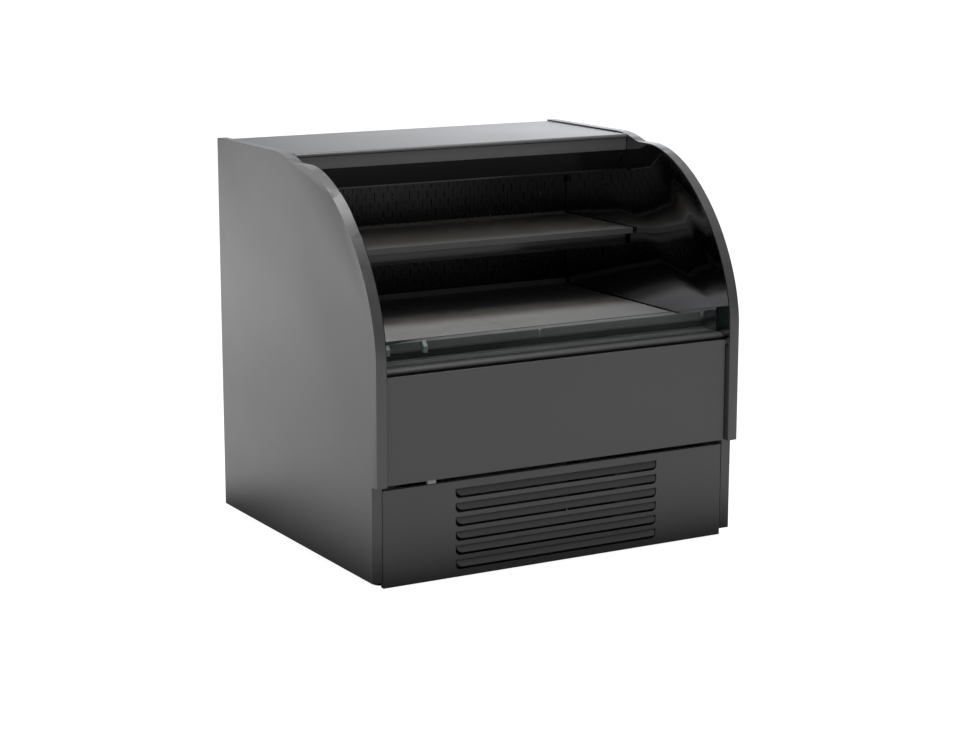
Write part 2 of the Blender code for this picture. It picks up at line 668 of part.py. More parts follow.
def make_controls():
    """Electrical box with its rocker switch and dial, and the rear power inlet."""
    face_y = -0.340
    switch = (0.250, face_y + 0.0035, 0.160)
    case = box("electrical_box", "galvanised", (0.200, face_y, MACHINE_Z), (0.400, -0.180, 0.200))
    pocket = bmesh.new()
    add_box(pocket, (switch[0] - 0.008, face_y - 0.01, switch[2] - 0.0125),
            (switch[0] + 0.008, face_y + 0.010, switch[2] + 0.0125))
    combine(case, pocket, "DIFFERENCE", "pocket")

    tilt = math.radians(-10)
    outline = []
    for y, z in ((-0.0045, -0.0105), (0.0035, -0.0060), (0.0035, 0.0060), (-0.0045, 0.0105), (-0.0065, 0.0)):
        outline.append((
            switch[1] + y * math.cos(tilt) - z * math.sin(tilt),
            switch[2] + y * math.sin(tilt) + z * math.cos(tilt),
        ))
    rocker = prism("power_switch", "plastic", outline, "x", switch[0] - 0.0075, switch[0] + 0.0075)
    set_origin(rocker, switch)

    dial = (0.340, face_y - GAP, 0.160)
    knob = turned("temperature_dial", "plastic",
                  [(0.016, 0.0), (0.016, -0.005), (0.013, -0.007), (0.012, -0.016)], "y", dial, sides=20)
    set_origin(knob, dial)

    outer = REAR_SKIN_Y + THIN + GAP
    inlet = box("power_inlet", "plastic", (0.340, 0.400, 0.186), (0.370, outer + 0.0005, 0.210))
    flange = bmesh.new()
    add_box(flange, (0.335, outer, 0.181), (0.375, outer + 0.0017, 0.215))
    combine(inlet, flange, "UNION", "flange")
    socket = bmesh.new()
    add_box(socket, (0.345, outer - 0.014, 0.191), (0.365, outer + 0.01, 0.205))
    combine(inlet, socket, "DIFFERENCE", "socket")


def main():
    clear_scene()
    make_ends()
    make_canopy()
    make_shell()
    make_front()
    make_service_panel()
    make_deck()
    make_shelf()
    make_cold_side()
    make_base()
    make_hot_side()
    make_controls()


main()
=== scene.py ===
"""Looks of an open-front refrigerated deli case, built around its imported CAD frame.

Sizes are metres in the case's own frame: width along X, open front towards -Y, Z up.
Places come from the frame's boxes; the few shape values that a box can't tell are named below.
"""
import math

import bmesh
import bpy
from mathutils import Matrix, Vector


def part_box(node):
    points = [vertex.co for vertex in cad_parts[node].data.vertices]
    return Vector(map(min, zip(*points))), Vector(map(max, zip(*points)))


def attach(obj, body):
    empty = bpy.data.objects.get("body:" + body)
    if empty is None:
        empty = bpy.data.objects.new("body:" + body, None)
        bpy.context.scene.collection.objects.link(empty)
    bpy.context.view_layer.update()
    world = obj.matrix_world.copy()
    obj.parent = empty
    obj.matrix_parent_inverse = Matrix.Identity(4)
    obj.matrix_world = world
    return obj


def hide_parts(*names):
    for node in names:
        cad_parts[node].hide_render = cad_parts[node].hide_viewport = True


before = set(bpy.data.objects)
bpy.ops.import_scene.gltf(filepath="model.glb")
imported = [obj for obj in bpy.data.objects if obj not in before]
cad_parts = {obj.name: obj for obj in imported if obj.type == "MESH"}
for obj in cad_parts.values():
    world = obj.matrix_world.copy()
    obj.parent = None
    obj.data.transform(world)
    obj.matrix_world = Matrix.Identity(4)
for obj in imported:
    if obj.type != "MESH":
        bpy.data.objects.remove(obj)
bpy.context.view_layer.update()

# Side profile of the end panels
END_LOW, END_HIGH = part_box("right_end_panel")
FRONT_Y = END_LOW.y
BACK_Y = END_HIGH.y
TOP_Z = END_HIGH.z
STEP_Y = FRONT_Y + 0.028
STEP_Z = 0.247
CURVE_Z = 0.538
SHOULDER_Y = -0.064
SHOULDER_Z = 0.942
CURVE_POWER = 1.72
CURVE_STEPS = 64
NOTCH_Y = -0.010
CROWN_Y = 0.090
CROWN_STEPS = 16

# Sheet metal
SHEET = 0.0015
BEND = 0.0022
ARC_STEPS = 5

# Louvres of the service panel
LOUVRE_COUNT = 6
LOUVRE_PITCH = 0.0341
LOUVRE_TOP_Z = 0.2155
LOUVRE_HEIGHT = 0.0236
LOUVRE_HALF = 0.278
LOUVRE_KERF = 0.0042
LOUVRE_SIDE_KERF = 0.0026
LOUVRE_SET = 0.0045
LOUVRE_TILT = math.radians(40)
LOUVRE_CORNER = 0.0125

# Light from below: dim at the foot of the case and even beyond this reach
BOUNCE_REACH = 0.36
BOUNCE_NEAR = 0.05
BOUNCE_FAR = 1.08
BOUNCE_REAR_LEFT = 1.30

# Slot pattern of the back wall, at one inch
SLOT_PITCH = 0.0254
SLOT_WIDE = 0.0022
SLOT_TALL = 0.0215

# Threads on each foot's stem
FOOT_TURNS = 8


# ---------------------------------------------------------------- outlines

def arc(centre, radius, start, stop, steps):
    """Points on an arc, angles in degrees."""
    points = []
    for i in range(steps + 1):
        angle = math.radians(start + (stop - start) * i / steps)
        points.append((centre[0] + radius * math.cos(angle), centre[1] + radius * math.sin(angle)))
    return points


def rounded(points, radius, steps=ARC_STEPS, closed=True):
    """Round an outline's corners; radius is one number or one for each corner."""
    count = len(points)
    radii = radius if isinstance(radius, (list, tuple)) else [radius] * count
    made = []
    for i, point in enumerate(points):
        if radii[i] <= 0 or (not closed and i in (0, count - 1)):
            made.append(tuple(point))
            continue
        here = Vector(point)
        before = Vector(points[i - 1]) - here
        after = Vector(points[(i + 1) % count]) - here
        half = before.angle(after) / 2
        reach = min(radii[i] / math.tan(half), before.length * 0.49, after.length * 0.49)
        true_radius = reach * math.tan(half)
        start = here + before.normalized() * reach
        stop = here + after.normalized() * reach
        inward = (before.normalized() + after.normalized()).normalized()
        centre = here + inward * (true_radius / math.sin(half))
        first = start - centre
        turn = first.angle_signed(stop - centre)
        for k in range(steps + 1):
            angle = -turn * k / steps
            made.append((
                centre.x + first.x * math.cos(angle) - first.y * math.sin(angle),
                centre.y + first.x * math.sin(angle) + first.y * math.cos(angle),
            ))
    return made


def rectangle(low, high, radius=0.0):
    """Corners of a rectangle, counter-clockwise from its low one, rounded if radius is given."""
    corners = [(low[0], low[1]), (high[0], low[1]), (high[0], high[1]), (low[0], high[1])]
    return rounded(corners, radius) if radius else corners


def circle(centre, radius, steps):
    """Points round a whole circle."""
    return arc(centre, radius, 0, 360 - 360 / steps, steps - 1)


def thick_line(path, thickness):
    """Outline of a sheet's edge: the path is its outer face, and the sheet lies to the path's left."""
    points = [Vector(p) for p in path]
    inner = []
    for i, point in enumerate(points):
        ahead = points[min(i + 1, len(points) - 1)] - point
        behind = point - points[max(i - 1, 0)]
        ahead = (ahead if ahead.length else behind).normalized()
        behind = (behind if behind.length else ahead).normalized()
        along = (ahead + behind).normalized()
        normal = Vector((-along.y, along.x))
        inner.append(point + normal * thickness / max(normal.dot(Vector((-behind.y, behind.x))), 0.3))
    return [tuple(p) for p in points] + [tuple(p) for p in reversed(inner)]


def folded(path, thickness=SHEET, bend=BEND):
    """Outline of a folded sheet with rounded bends."""
    return thick_line(rounded(path, bend, closed=False), thickness)


def front_curve(inset):
    """Points up the swept front edge, from its straight foot to the shoulder."""
    reach = SHOULDER_Y - FRONT_Y - inset
    rise = SHOULDER_Z - CURVE_Z - inset
    points = []
    for i in range(CURVE_STEPS + 1):
        angle = math.pi / 2 * i / CURVE_STEPS
        across = max(math.cos(angle), 0.0) ** (2 / CURVE_POWER)
        points.append((SHOULDER_Y - reach * across, CURVE_Z + rise * math.sin(angle) ** (2 / CURVE_POWER)))
    return points


def crown_curve(inset):
    """Points up the low arc from the notch to the flat top edge."""
    span = CROWN_Y - NOTCH_Y
    rise = TOP_Z - SHOULDER_Z
    radius = (span**2 + rise**2) / (2 * rise)
    points = []
    for i in range(CROWN_STEPS + 1):
        y = NOTCH_Y + span * i / CROWN_STEPS
        points.append((y, TOP_Z - inset - radius + math.sqrt(radius**2 - (CROWN_Y - y) ** 2)))
    return points


# ---------------------------------------------------------------- mesh code

SHARP_ANGLE = math.radians(35)
AXES = {"x": (1, 2, 0), "y": (0, 2, 1), "z": (0, 1, 2)}


def place(u, v, level, axis):
    """A point at (u, v) in the plane across an axis, at a level along it."""
    first, second, along = AXES[axis]
    point = Vector()
    point[first] = u
    point[second] = v
    point[along] = level
    return point


def add_rings(bm, rings, capped=True):
    """Faces between rings of vertices, after the two caps if the ends are closed."""
    count = len(rings[0])
    made = []
    if capped:
        made += [bm.faces.new(rings[0]), bm.faces.new(rings[-1])]
    for lower, upper in zip(rings, rings[1:]):
        for i in range(count):
            j = (i + 1) % count
            made.append(bm.faces.new((lower[i], lower[j], upper[j], upper[i])))
    return made


def add_prism(bm, outline, axis, low, high, edge=0.0):
    """Extrude an outline along an axis; edge rounds its two rims."""
    rings = []
    for level in (low, high):
        rings.append([bm.verts.new(place(u, v, level, axis)) for u, v in outline])
    faces = add_rings(bm, rings)
    if edge:
        rims = list({e for face in faces[:2] for e in face.edges})
        made = bmesh.ops.bevel(bm, geom=rims, offset=edge, segments=3, profile=0.5, affect="EDGES")
        faces = made["faces"]
    return faces


def add_shell(bm, front, back):
    """Join two equal grids of vertices into one closed sheet."""
    rows, columns = len(front) - 1, len(front[0]) - 1
    for grid in (front, back):
        for near, far in zip(grid, grid[1:]):
            for k in range(columns):
                bm.faces.new((near[k], near[k + 1], far[k + 1], far[k]))
    for end in (0, -1):
        for k in range(columns):
            bm.faces.new((front[end][k], front[end][k + 1], back[end][k + 1], back[end][k]))
        for i in range(rows):
            bm.faces.new((front[i][end], front[i + 1][end], back[i + 1][end], back[i][end]))


def add_box(bm, low, high, edge=0.0):
    """A block with its edges rounded."""
    corners = rectangle(low, high)
    rings = []
    for z in (low[2], high[2]):
        rings.append([bm.verts.new((x, y, z)) for x, y in corners])
    faces = add_rings(bm, rings)
    if edge:
        edges = list({e for face in faces for e in face.edges})
        bmesh.ops.bevel(bm, geom=edges, offset=edge, segments=2, profile=0.5, affect="EDGES")


def add_turned(bm, profile, axis, centre, sides=32, capped=True):
    """Turn a profile of (radius, distance along the axis) about an axis through centre."""
    first, second, along = AXES[axis]
    rings = []
    for radius, distance in profile:
        ring = []
        for i in range(sides):
            angle = 2 * math.pi * i / sides
            point = Vector(centre)
            point[first] += radius * math.cos(angle)
            point[second] += radius * math.sin(angle)
            point[along] += distance
            ring.append(bm.verts.new(point))
        rings.append(ring)
    add_rings(bm, rings, capped)


def link(name, data):
    """Put new data into the scene as an object."""
    item = bpy.data.objects.new(name, data)
    bpy.context.scene.collection.objects.link(item)
    return item


def add_plate(bm, outlines, axis, low, high, edge=0.0):
    """A flat plate between two levels: the first outline is its rim and the others are its holes."""
    curve = bpy.data.curves.new("plate_outline", "CURVE")
    curve.dimensions = "2D"
    curve.fill_mode = "BOTH"
    curve.extrude = (high - low) / 2 - edge
    curve.bevel_depth = edge
    curve.bevel_resolution = 1
    curve.offset = -edge
    for outline in outlines:
        spline = curve.splines.new("POLY")
        spline.points.add(len(outline) - 1)
        for slot, point in zip(spline.points, outline):
            slot.co = (point[0], point[1], 0.0, 1.0)
        spline.use_cyclic_u = True
    holder = link("plate_outline", curve)
    bpy.context.view_layer.update()
    mesh = bpy.data.meshes.new_from_object(holder.evaluated_get(bpy.context.evaluated_depsgraph_get()))
    columns = [place(1, 0, 0, axis), place(0, 1, 0, axis), place(0, 0, 1, axis)]
    turn = Matrix([[c[r] for c in columns] + [0.0] for r in range(3)] + [[0, 0, 0, 1]])
    mesh.transform(Matrix.Translation(place(0, 0, (low + high) / 2, axis)) @ turn)
    if turn.determinant() < 0:
        mesh.flip_normals()
    bm.from_mesh(mesh)
    bpy.data.objects.remove(holder)
    bpy.data.curves.remove(curve)
    bpy.data.meshes.remove(mesh)


def add_tube(bm, route, radius, sides=14, steps=8):
    """A round pipe along a smooth line through the route's points."""
    points = smooth_route(route, steps)
    rings = []
    normal = None
    for i, point in enumerate(points):
        along = (points[min(i + 1, len(points) - 1)] - points[max(i - 1, 0)]).normalized()
        if normal is None:
            normal = along.orthogonal().normalized()
        normal = (normal - along * normal.dot(along)).normalized()
        side = along.cross(normal)
        ring = []
        for k in range(sides):
            angle = 2 * math.pi * k / sides
            ring.append(bm.verts.new(point + (normal * math.cos(angle) + side * math.sin(angle)) * radius))
        rings.append(ring)
    add_rings(bm, rings)


def smooth_route(route, steps):
    """Points along a smooth curve through the route's points, with steps between each two."""
    anchors = [Vector(point) for point in route]
    points = [anchors[0]]
    for i in range(len(anchors) - 1):
        before = anchors[max(i - 1, 0)]
        start, stop = anchors[i], anchors[i + 1]
        after = anchors[min(i + 2, len(anchors) - 1)]
        for k in range(1, steps + 1):
            t = k / steps
            leave, arrive = (stop - before) * 0.5, (after - start) * 0.5
            points.append(
                start * (2 * t**3 - 3 * t**2 + 1) + leave * (t**3 - 2 * t**2 + t)
                + stop * (3 * t**2 - 2 * t**3) + arrive * (t**3 - t**2)
            )
    return points


def add_screw(bm, centre, facing):
    """A button-head screw with a hexagonal socket, facing along a direction."""
    radius, height, sides = 0.0042, 0.0018, 24
    profile = [(1.0, 0.0), (1.0, 0.35), (0.86, 0.72), (0.62, 0.93), (0.46, 1.0)]
    rings = [[(x, y, height * h) for x, y in circle((0, 0), radius * r, sides)] for r, h in profile]
    for depth in (0.96, 0.25):
        ring = []
        for i in range(sides):
            angle = 2 * math.pi * i / sides
            reach = 0.40 * radius * math.cos(math.pi / 6) / math.cos(angle % (math.pi / 3) - math.pi / 6)
            ring.append((reach * math.cos(angle), reach * math.sin(angle), height * depth))
        rings.append(ring)
    turn = Vector(facing).to_track_quat("Z", "Y").to_matrix().to_4x4()
    turn = Matrix.Translation(Vector(centre)) @ turn
    add_rings(bm, [[bm.verts.new(turn @ Vector(p)) for p in ring] for ring in rings])


def piece(name, bm, material, body, replaces=()):
    """Finish a mesh as a piece that rides on a body and takes a slot's finish."""
    bmesh.ops.recalc_face_normals(bm, faces=bm.faces)
    mesh = bpy.data.meshes.new(name)
    bm.to_mesh(mesh)
    bm.free()
    mesh.shade_smooth()
    mesh.set_sharp_from_angle(angle=SHARP_ANGLE)
    mesh.materials.append(material)
    item = link(name, mesh)
    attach(item, body)
    if replaces:
        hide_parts(*replaces)
    return item


def carry_over(node, material, edge, segments=2):
    """Keep a CAD node's mesh, with a finer material and rounded edges from modifiers."""
    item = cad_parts[node]
    item.data.materials.clear()
    item.data.materials.append(material)
    weld = item.modifiers.new("weld", "WELD")
    weld.merge_threshold = 0.00002
    flatten = item.modifiers.new("flatten", "DECIMATE")
    flatten.decimate_type = "DISSOLVE"
    flatten.angle_limit = math.radians(1.0)
    bevel = item.modifiers.new("edges", "BEVEL")
    bevel.width = edge
    bevel.segments = segments
    bevel.limit_method = "ANGLE"
    bevel.angle_limit = math.radians(40)
    bevel.harden_normals = True


# ---------------------------------------------------------------- materials

WHITE = (1.0, 1.0, 1.0, 1.0)
BLACK = (0.0, 0.0, 0.0, 1.0)
CLOUD_SCALE = 2.6
SMEAR_SCALE = 11.0
PATCH_SCALE = 26.0
DUST_SCALE = 9.0
DUST_COLOUR = (0.36, 0.35, 0.33)
WEAR_RADIUS = 0.0016
SPECKLE_SHADE = 1.9
WORN_SHADE = 2.2


def feed(tree, socket, value):
    """Give a socket a value of its own, or the value of another socket."""
    if isinstance(value, bpy.types.NodeSocket):
        tree.links.new(value, socket)
    else:
        socket.default_value = value


def add_node(tree, kind, **values):
    """A shader node with some of its inputs fed."""
    made = tree.nodes.new(kind)
    for key, value in values.items():
        feed(tree, made.inputs[key], value)
    return made


def calculate(tree, kind, operation, *values):
    """The number that a Math or VectorMath node makes of its inputs."""
    made = tree.nodes.new("ShaderNode" + kind)
    made.operation = operation
    for socket, value in zip(made.inputs, values):
        feed(tree, socket, value)
    return made.outputs["Value"]


def noise(tree, where, scale, detail=3.0, roughness=0.55):
    made = add_node(tree, "ShaderNodeTexNoise", Vector=where, Scale=scale, Detail=detail, Roughness=roughness)
    return made.outputs["Fac"]


def ranged(tree, value, low, high, to_low, to_high, smooth=False):
    """Map a value from one range to another, and hold it at the ends."""
    made = tree.nodes.new("ShaderNodeMapRange")
    if smooth:
        made.interpolation_type = "SMOOTHSTEP"
    numbers = {"Value": value, "From Min": low, "From Max": high, "To Min": to_low, "To Max": to_high}
    for key, number in numbers.items():
        feed(tree, made.inputs[key], number)
    return made.outputs["Result"]


def mixed(tree, share, first, second):
    """Mix two colours, each a colour or a socket, by a share, a number or a socket."""
    made = tree.nodes.new("ShaderNodeMix")
    made.data_type = "RGBA"
    for socket, value in ((made.inputs[0], share), (made.inputs[6], first), (made.inputs[7], second)):
        feed(tree, socket, (*value, 1.0) if isinstance(value, tuple) else value)
    return made.outputs[2]


def shade(colour, factor):
    return tuple(min(max(c * factor, 0.0), 1.0) for c in colour)


def blank(name):
    """A new material, its node tree, its shader and its object coordinates."""
    material = bpy.data.materials.new(name)
    material.use_nodes = True
    tree = material.node_tree
    where = tree.nodes.new("ShaderNodeTexCoord").outputs["Object"]
    return material, tree, tree.nodes["Principled BSDF"], where


def opened(material):
    """A finish's node tree, shader and object coordinates."""
    tree = material.node_tree
    where = next(n for n in tree.nodes if n.type == "TEX_COORD").outputs["Object"]
    return tree, tree.nodes["Principled BSDF"], where


def finish(name, colour, roughness, metallic=0.0, mottle=0.06, speckle=0.05, grain=(420.0, 0.00008),
           uneven=0.06, worn=0.0, worn_colour=None, dust=0.0, stretch=None, specular=0.5):
    """A procedural finish: slow mottling, fine speckle, surface grain, uneven gloss and worn edges."""
    material, tree, shader, where = blank(name)
    if stretch:
        where = add_node(tree, "ShaderNodeMapping", Vector=where, Scale=stretch).outputs["Vector"]
    slow = noise(tree, where, CLOUD_SCALE, 4.0)
    fine = noise(tree, where, grain[0] * 1.7, 2.0)
    cloud = ranged(tree, slow, 0.3, 0.7, 0, 1)
    base = mixed(tree, cloud, shade(colour, 1 - mottle), shade(colour, 1 + mottle))
    base = mixed(tree, ranged(tree, fine, 0.35, 0.65, 0, speckle), base, shade(colour, SPECKLE_SHADE))
    if worn:
        edge = add_node(tree, "ShaderNodeBevel", Radius=WEAR_RADIUS)
        edge.samples = 4
        flat = tree.nodes.new("ShaderNodeNewGeometry")
        same = calculate(tree, "VectorMath", "DOT_PRODUCT", edge.outputs["Normal"], flat.outputs["Normal"])
        patchy = ranged(tree, noise(tree, where, PATCH_SCALE, 4.0), 0.42, 0.62, 0.25, 1.0)
        rim = ranged(tree, same, 0.995, 0.86, 0.0, worn)
        share = calculate(tree, "Math", "MULTIPLY", rim, patchy)
        base = mixed(tree, share, base, worn_colour or shade(colour, WORN_SHADE))
    if dust:
        haze = ranged(tree, noise(tree, where, DUST_SCALE, 6.0, 0.7), 0.5, 0.8, 0.0, dust)
        base = mixed(tree, haze, base, DUST_COLOUR)
    feed(tree, shader.inputs["Base Color"], base)
    smear = noise(tree, where, SMEAR_SCALE, 5.0, 0.6)
    gloss = ranged(tree, smear, 0.3, 0.7, roughness - uneven, roughness + uneven)
    feed(tree, shader.inputs["Roughness"], gloss)
    if grain[1]:
        height = noise(tree, where, grain[0], 2.0, 0.5)
        bump = add_node(tree, "ShaderNodeBump", Strength=1.0, Distance=grain[1], Height=height)
        feed(tree, shader.inputs["Normal"], bump.outputs["Normal"])
    shader.inputs["Metallic"].default_value = metallic
    shader.inputs["Specular IOR Level"].default_value = specular
    return material


def galvanised_finish(name, colour):
    """Zinc-coated sheet with crystal spangle."""
    material = finish(name, colour, 0.38, 0.9, grain=(180.0, 0.00005), uneven=0.08)
    tree, shader, where = opened(material)
    crystals = add_node(tree, "ShaderNodeTexVoronoi", Vector=where, Scale=130.0)
    tone = add_node(tree, "ShaderNodeSeparateColor", Color=crystals.outputs["Color"]).outputs[0]
    base = shader.inputs["Base Color"].links[0].from_socket
    base = mixed(tree, ranged(tree, tone, 0, 1, 0.0, 0.35), base, shade(colour, 0.55))
    feed(tree, shader.inputs["Base Color"], base)
    feed(tree, shader.inputs["Roughness"], ranged(tree, tone, 0, 1, 0.28, 0.52))
    return material


def glass_finish(name, tint, haze):
    """Clear sheet glass: see-through, with Fresnel gloss and a faint film of grease."""
    material, tree, shader, where = blank(name)
    shader.inputs["Base Color"].default_value = (*tint, 1.0)
    film = noise(tree, where, 7.0, 5.0, 0.65)
    feed(tree, shader.inputs["Roughness"], ranged(tree, film, 0.3, 0.7, 0.02, 0.09))
    clear = add_node(tree, "ShaderNodeBsdfTransparent", Color=(0.975, 0.990, 0.982, 1.0))
    gloss = add_node(tree, "ShaderNodeFresnel", IOR=1.5)
    smeared = ranged(tree, film, 0.3, 0.7, haze * 0.6, haze)
    share = calculate(tree, "Math", "ADD", gloss.outputs["Fac"], smeared)
    share.node.use_clamp = True
    mix = add_node(tree, "ShaderNodeMixShader", Fac=share)
    feed(tree, mix.inputs[1], clear.outputs["BSDF"])
    feed(tree, mix.inputs[2], shader.outputs["BSDF"])
    feed(tree, tree.nodes["Material Output"].inputs["Surface"], mix.outputs["Shader"])
    return material


def lamp_finish(name, strength):
    """Warm lamp cover, with light that is a little uneven along its strip of diodes."""
    warm = (1.0, 0.93, 0.80)
    material = finish(name, warm, 0.35, grain=(300.0, 0.00003))
    tree, shader, where = opened(material)
    wave = add_node(tree, "ShaderNodeTexWave", Vector=where, Scale=11.0, Distortion=0.4)
    wave.bands_direction = "X"
    power = ranged(tree, wave.outputs["Fac"], 0, 1, strength * 0.82, strength)
    feed(tree, shader.inputs["Emission Strength"], power)
    shader.inputs["Emission Color"].default_value = (*warm, 1.0)
    return material


CHARCOAL = (0.072, 0.0722, 0.0725)
POWDER_GRAIN = (650.0, 0.00007)
FIN_GRAIN = (240.0, 0.00004)
LAMINATE = finish("laminate_charcoal", CHARCOAL, 0.40, mottle=0.02, speckle=0.06, grain=(520.0, 0.00006),
                  uneven=0.012, worn=0.10)
POWDER = finish("powder_charcoal", CHARCOAL, 0.42, mottle=0.02, grain=POWDER_GRAIN, uneven=0.012, worn=0.10)
TOP_COAT = finish("powder_charcoal_top", CHARCOAL, 0.41, mottle=0.02, grain=(650.0, 0.00005), uneven=0.010,
                  worn=0.10)
INNER_COAT = finish("powder_dark_inner", (0.020, 0.021, 0.021), 0.55, mottle=0.04, worn=0.10, specular=0.35)
# The nose rail's charcoal is painted darker than the other panels' coat, as painted shade.
NOSE_SHADED_COAT = finish("powder_charcoal_nose_painted_shade", shade(CHARCOAL, 0.78), 0.55, mottle=0.02, grain=POWDER_GRAIN,
                   uneven=0.012, worn=0.05, specular=0.3)
# The fascia's charcoal is painted 1.2 times lighter than the other panels' coat, as painted light.
FASCIA_LIT_COAT = finish("powder_charcoal_fascia_painted_light", shade(CHARCOAL, 1.2), 0.42, mottle=0.02, grain=POWDER_GRAIN,
                     worn=0.10)
GRILLE_COAT = finish("powder_dark_grille", (0.032, 0.033, 0.033), 0.55, mottle=0.04, worn=0.10, specular=0.35)
# The trays wear the same charcoal coat, painted 2.4 times lighter as painted light, for the light lost behind
# the glass.
TRAY_LIT_COAT = finish("powder_charcoal_tray_painted_light", shade(CHARCOAL, 2.4), 0.40, mottle=0.03, grain=POWDER_GRAIN,
                   worn=0.3)
# Pale grey: on the return grille's hole rims it is a painted highlight; it is also the catch's colour.
PALE_GREY = finish("pale_grey", (0.24, 0.24, 0.25), 0.40, mottle=0.04, worn=0.10)
GLOSS_BLACK = finish("gloss_black", (0.004, 0.004, 0.005), 0.20, mottle=0.1, speckle=0.02,
                     grain=(300.0, 0.00002), uneven=0.04, specular=0.35)
WALL_BLACK = finish("wall_black", (0.004, 0.004, 0.004), 0.30, mottle=0.1, speckle=0.02,
                    grain=(500.0, 0.00002), uneven=0.03, specular=0.3)
MIRROR = finish("dark_mirror", (0.36, 0.36, 0.38), 0.035, 1.0, mottle=0.02, speckle=0.0, grain=(8.0, 0.00002),
                uneven=0.02)
GALVANISED = galvanised_finish("zinc_sheet", (0.50, 0.51, 0.52))
STEEL = finish("satin_steel", (0.50, 0.51, 0.53), 0.33, 1.0, stretch=(1, 1, 9), grain=(160.0, 0.00004),
               worn=0.2)
SCREW_STEEL = finish("screw_black", (0.035, 0.035, 0.037), 0.34, 0.6, worn=0.5, worn_colour=(0.4, 0.4, 0.4))
FINS = finish("fin_aluminium", (0.70, 0.71, 0.73), 0.36, 1.0, stretch=(1, 1, 5), grain=FIN_GRAIN, dust=0.06)
# The condenser's fins are dark grey, much darker than the evaporator's, which keeps the view through the
# louvre slots dark.
DARK_FINS = finish("fin_dark", (0.10, 0.105, 0.11), 0.5, 0.6, stretch=(1, 1, 5), grain=FIN_GRAIN,
                     dust=0.10)
COPPER = finish("pipe_copper", (0.72, 0.38, 0.22), 0.28, 1.0, mottle=0.18, uneven=0.12, grain=(90.0, 0.00003))
LINER_WHITE = finish("tub_liner", (0.62, 0.63, 0.62), 0.45, mottle=0.03, grain=(60.0, 0.0001), dust=0.05)
RUBBER = finish("foot_rubber", (0.022, 0.022, 0.023), 0.72, grain=(900.0, 0.0001), dust=0.10)
PLASTIC = finish("moulded_black", (0.020, 0.020, 0.022), 0.48, grain=(1100.0, 0.00008), worn=0.2)
ENAMEL = finish("compressor_enamel", (0.012, 0.012, 0.013), 0.24, mottle=0.1, grain=(120.0, 0.0001),
                dust=0.05)
CLIP_CLEAR = finish("frosted_clip", (0.36, 0.42, 0.41), 0.25, mottle=0.06, grain=(700.0, 0.00004), worn=0.4,
                    worn_colour=(0.62, 0.70, 0.68))
GLASS = glass_finish("sheet_glass", (0.10, 0.12, 0.115), 0.05)
GLASS_EDGE = finish("glass_edge", (0.035, 0.055, 0.048), 0.18, grain=(300.0, 0.00002), speckle=0.02)
LAMP_TOP = lamp_finish("canopy_lamp_cover", 7.0)
LAMP_SHELF = lamp_finish("shelf_lamp_cover", 6.0)


# ---------------------------------------------------------------- outside

def make_end_panels():
    """End panels with a stepped foot, a swept front edge and a low crown."""
    outline = [(BACK_Y, TOP_Z), (BACK_Y, END_LOW.z), (STEP_Y, END_LOW.z), (STEP_Y, STEP_Z), (FRONT_Y, STEP_Z)]
    radii = [0.002, 0.002, 0.0015, 0.0, 0.0015]
    curves = front_curve(0.0) + [(NOTCH_Y - 0.004, SHOULDER_Z)] + crown_curve(0.0)
    outline = rounded(outline + curves, radii + [0.0] * len(curves), 3)
    for side in ("left", "right"):
        low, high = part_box(side + "_end_panel")
        bm = bmesh.new()
        add_prism(bm, outline, "x", low.x, high.x, edge=0.0011)
        piece(side + "_end_panel_shell", bm, LAMINATE, "case", [side + "_end_panel"])


def make_liners():
    """Dark mirrors on the inner faces of the ends, with blackened edges."""
    inset, back_y = 0.0015, 0.012
    for side in ("left", "right"):
        low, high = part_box(side + "_end_liner")
        outline = [(high.y, low.z), (FRONT_Y + inset, low.z)] + front_curve(inset)
        outline += [(NOTCH_Y, SHOULDER_Z - inset), (back_y, high.z), (high.y, high.z)]
        bm = bmesh.new()
        add_prism(bm, outline, "x", low.x, high.x, edge=0.0003)
        item = piece(side + "_end_mirror", bm, MIRROR, "case", [side + "_end_liner"])
        item.data.materials.append(GLOSS_BLACK)
        for face in item.data.polygons:
            face.material_index = 0 if abs(face.normal.x) > 0.98 else 1


def make_top():
    """Top panel with its rolled front edge, the fascia under it and the sloping baffle."""
    low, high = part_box("top_panel")
    roll, steps = 0.008, 10
    path = [(high.y, high.z - roll), (high.y, high.z), (low.y + roll, high.z)]
    path = rounded(path, [0, 0.0015, 0], 4, closed=False)
    for i in range(1, steps + 1):
        angle = math.pi / 2 * i / steps
        path.append((low.y + roll * (1 - math.sin(angle)), high.z - roll * (1 - math.cos(angle))))
    bm = bmesh.new()
    add_prism(bm, thick_line(path, SHEET), "x", low.x, high.x, edge=0.0005)
    piece("top_panel_sheet", bm, TOP_COAT, "case", ["top_panel"])

    low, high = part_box("canopy_fascia")
    path = [(high.y, high.z), (low.y, high.z), (low.y, low.z), (low.y + 0.008, low.z)]
    bm = bmesh.new()
    add_prism(bm, folded(path, bend=0.0014), "x", low.x, high.x)
    # Lightened charcoal: painted light.
    piece("canopy_fascia_sheet", bm, FASCIA_LIT_COAT, "case", ["canopy_fascia"])

    low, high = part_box("canopy_baffle")
    bm = bmesh.new()
    path = [(low.y + 0.0005, high.z), (high.y - 0.002, low.z + 0.001)]
    add_prism(bm, folded(path, 0.0016), "x", low.x, high.x)
    piece("canopy_baffle_sheet", bm, GLOSS_BLACK, "case", ["canopy_baffle"])


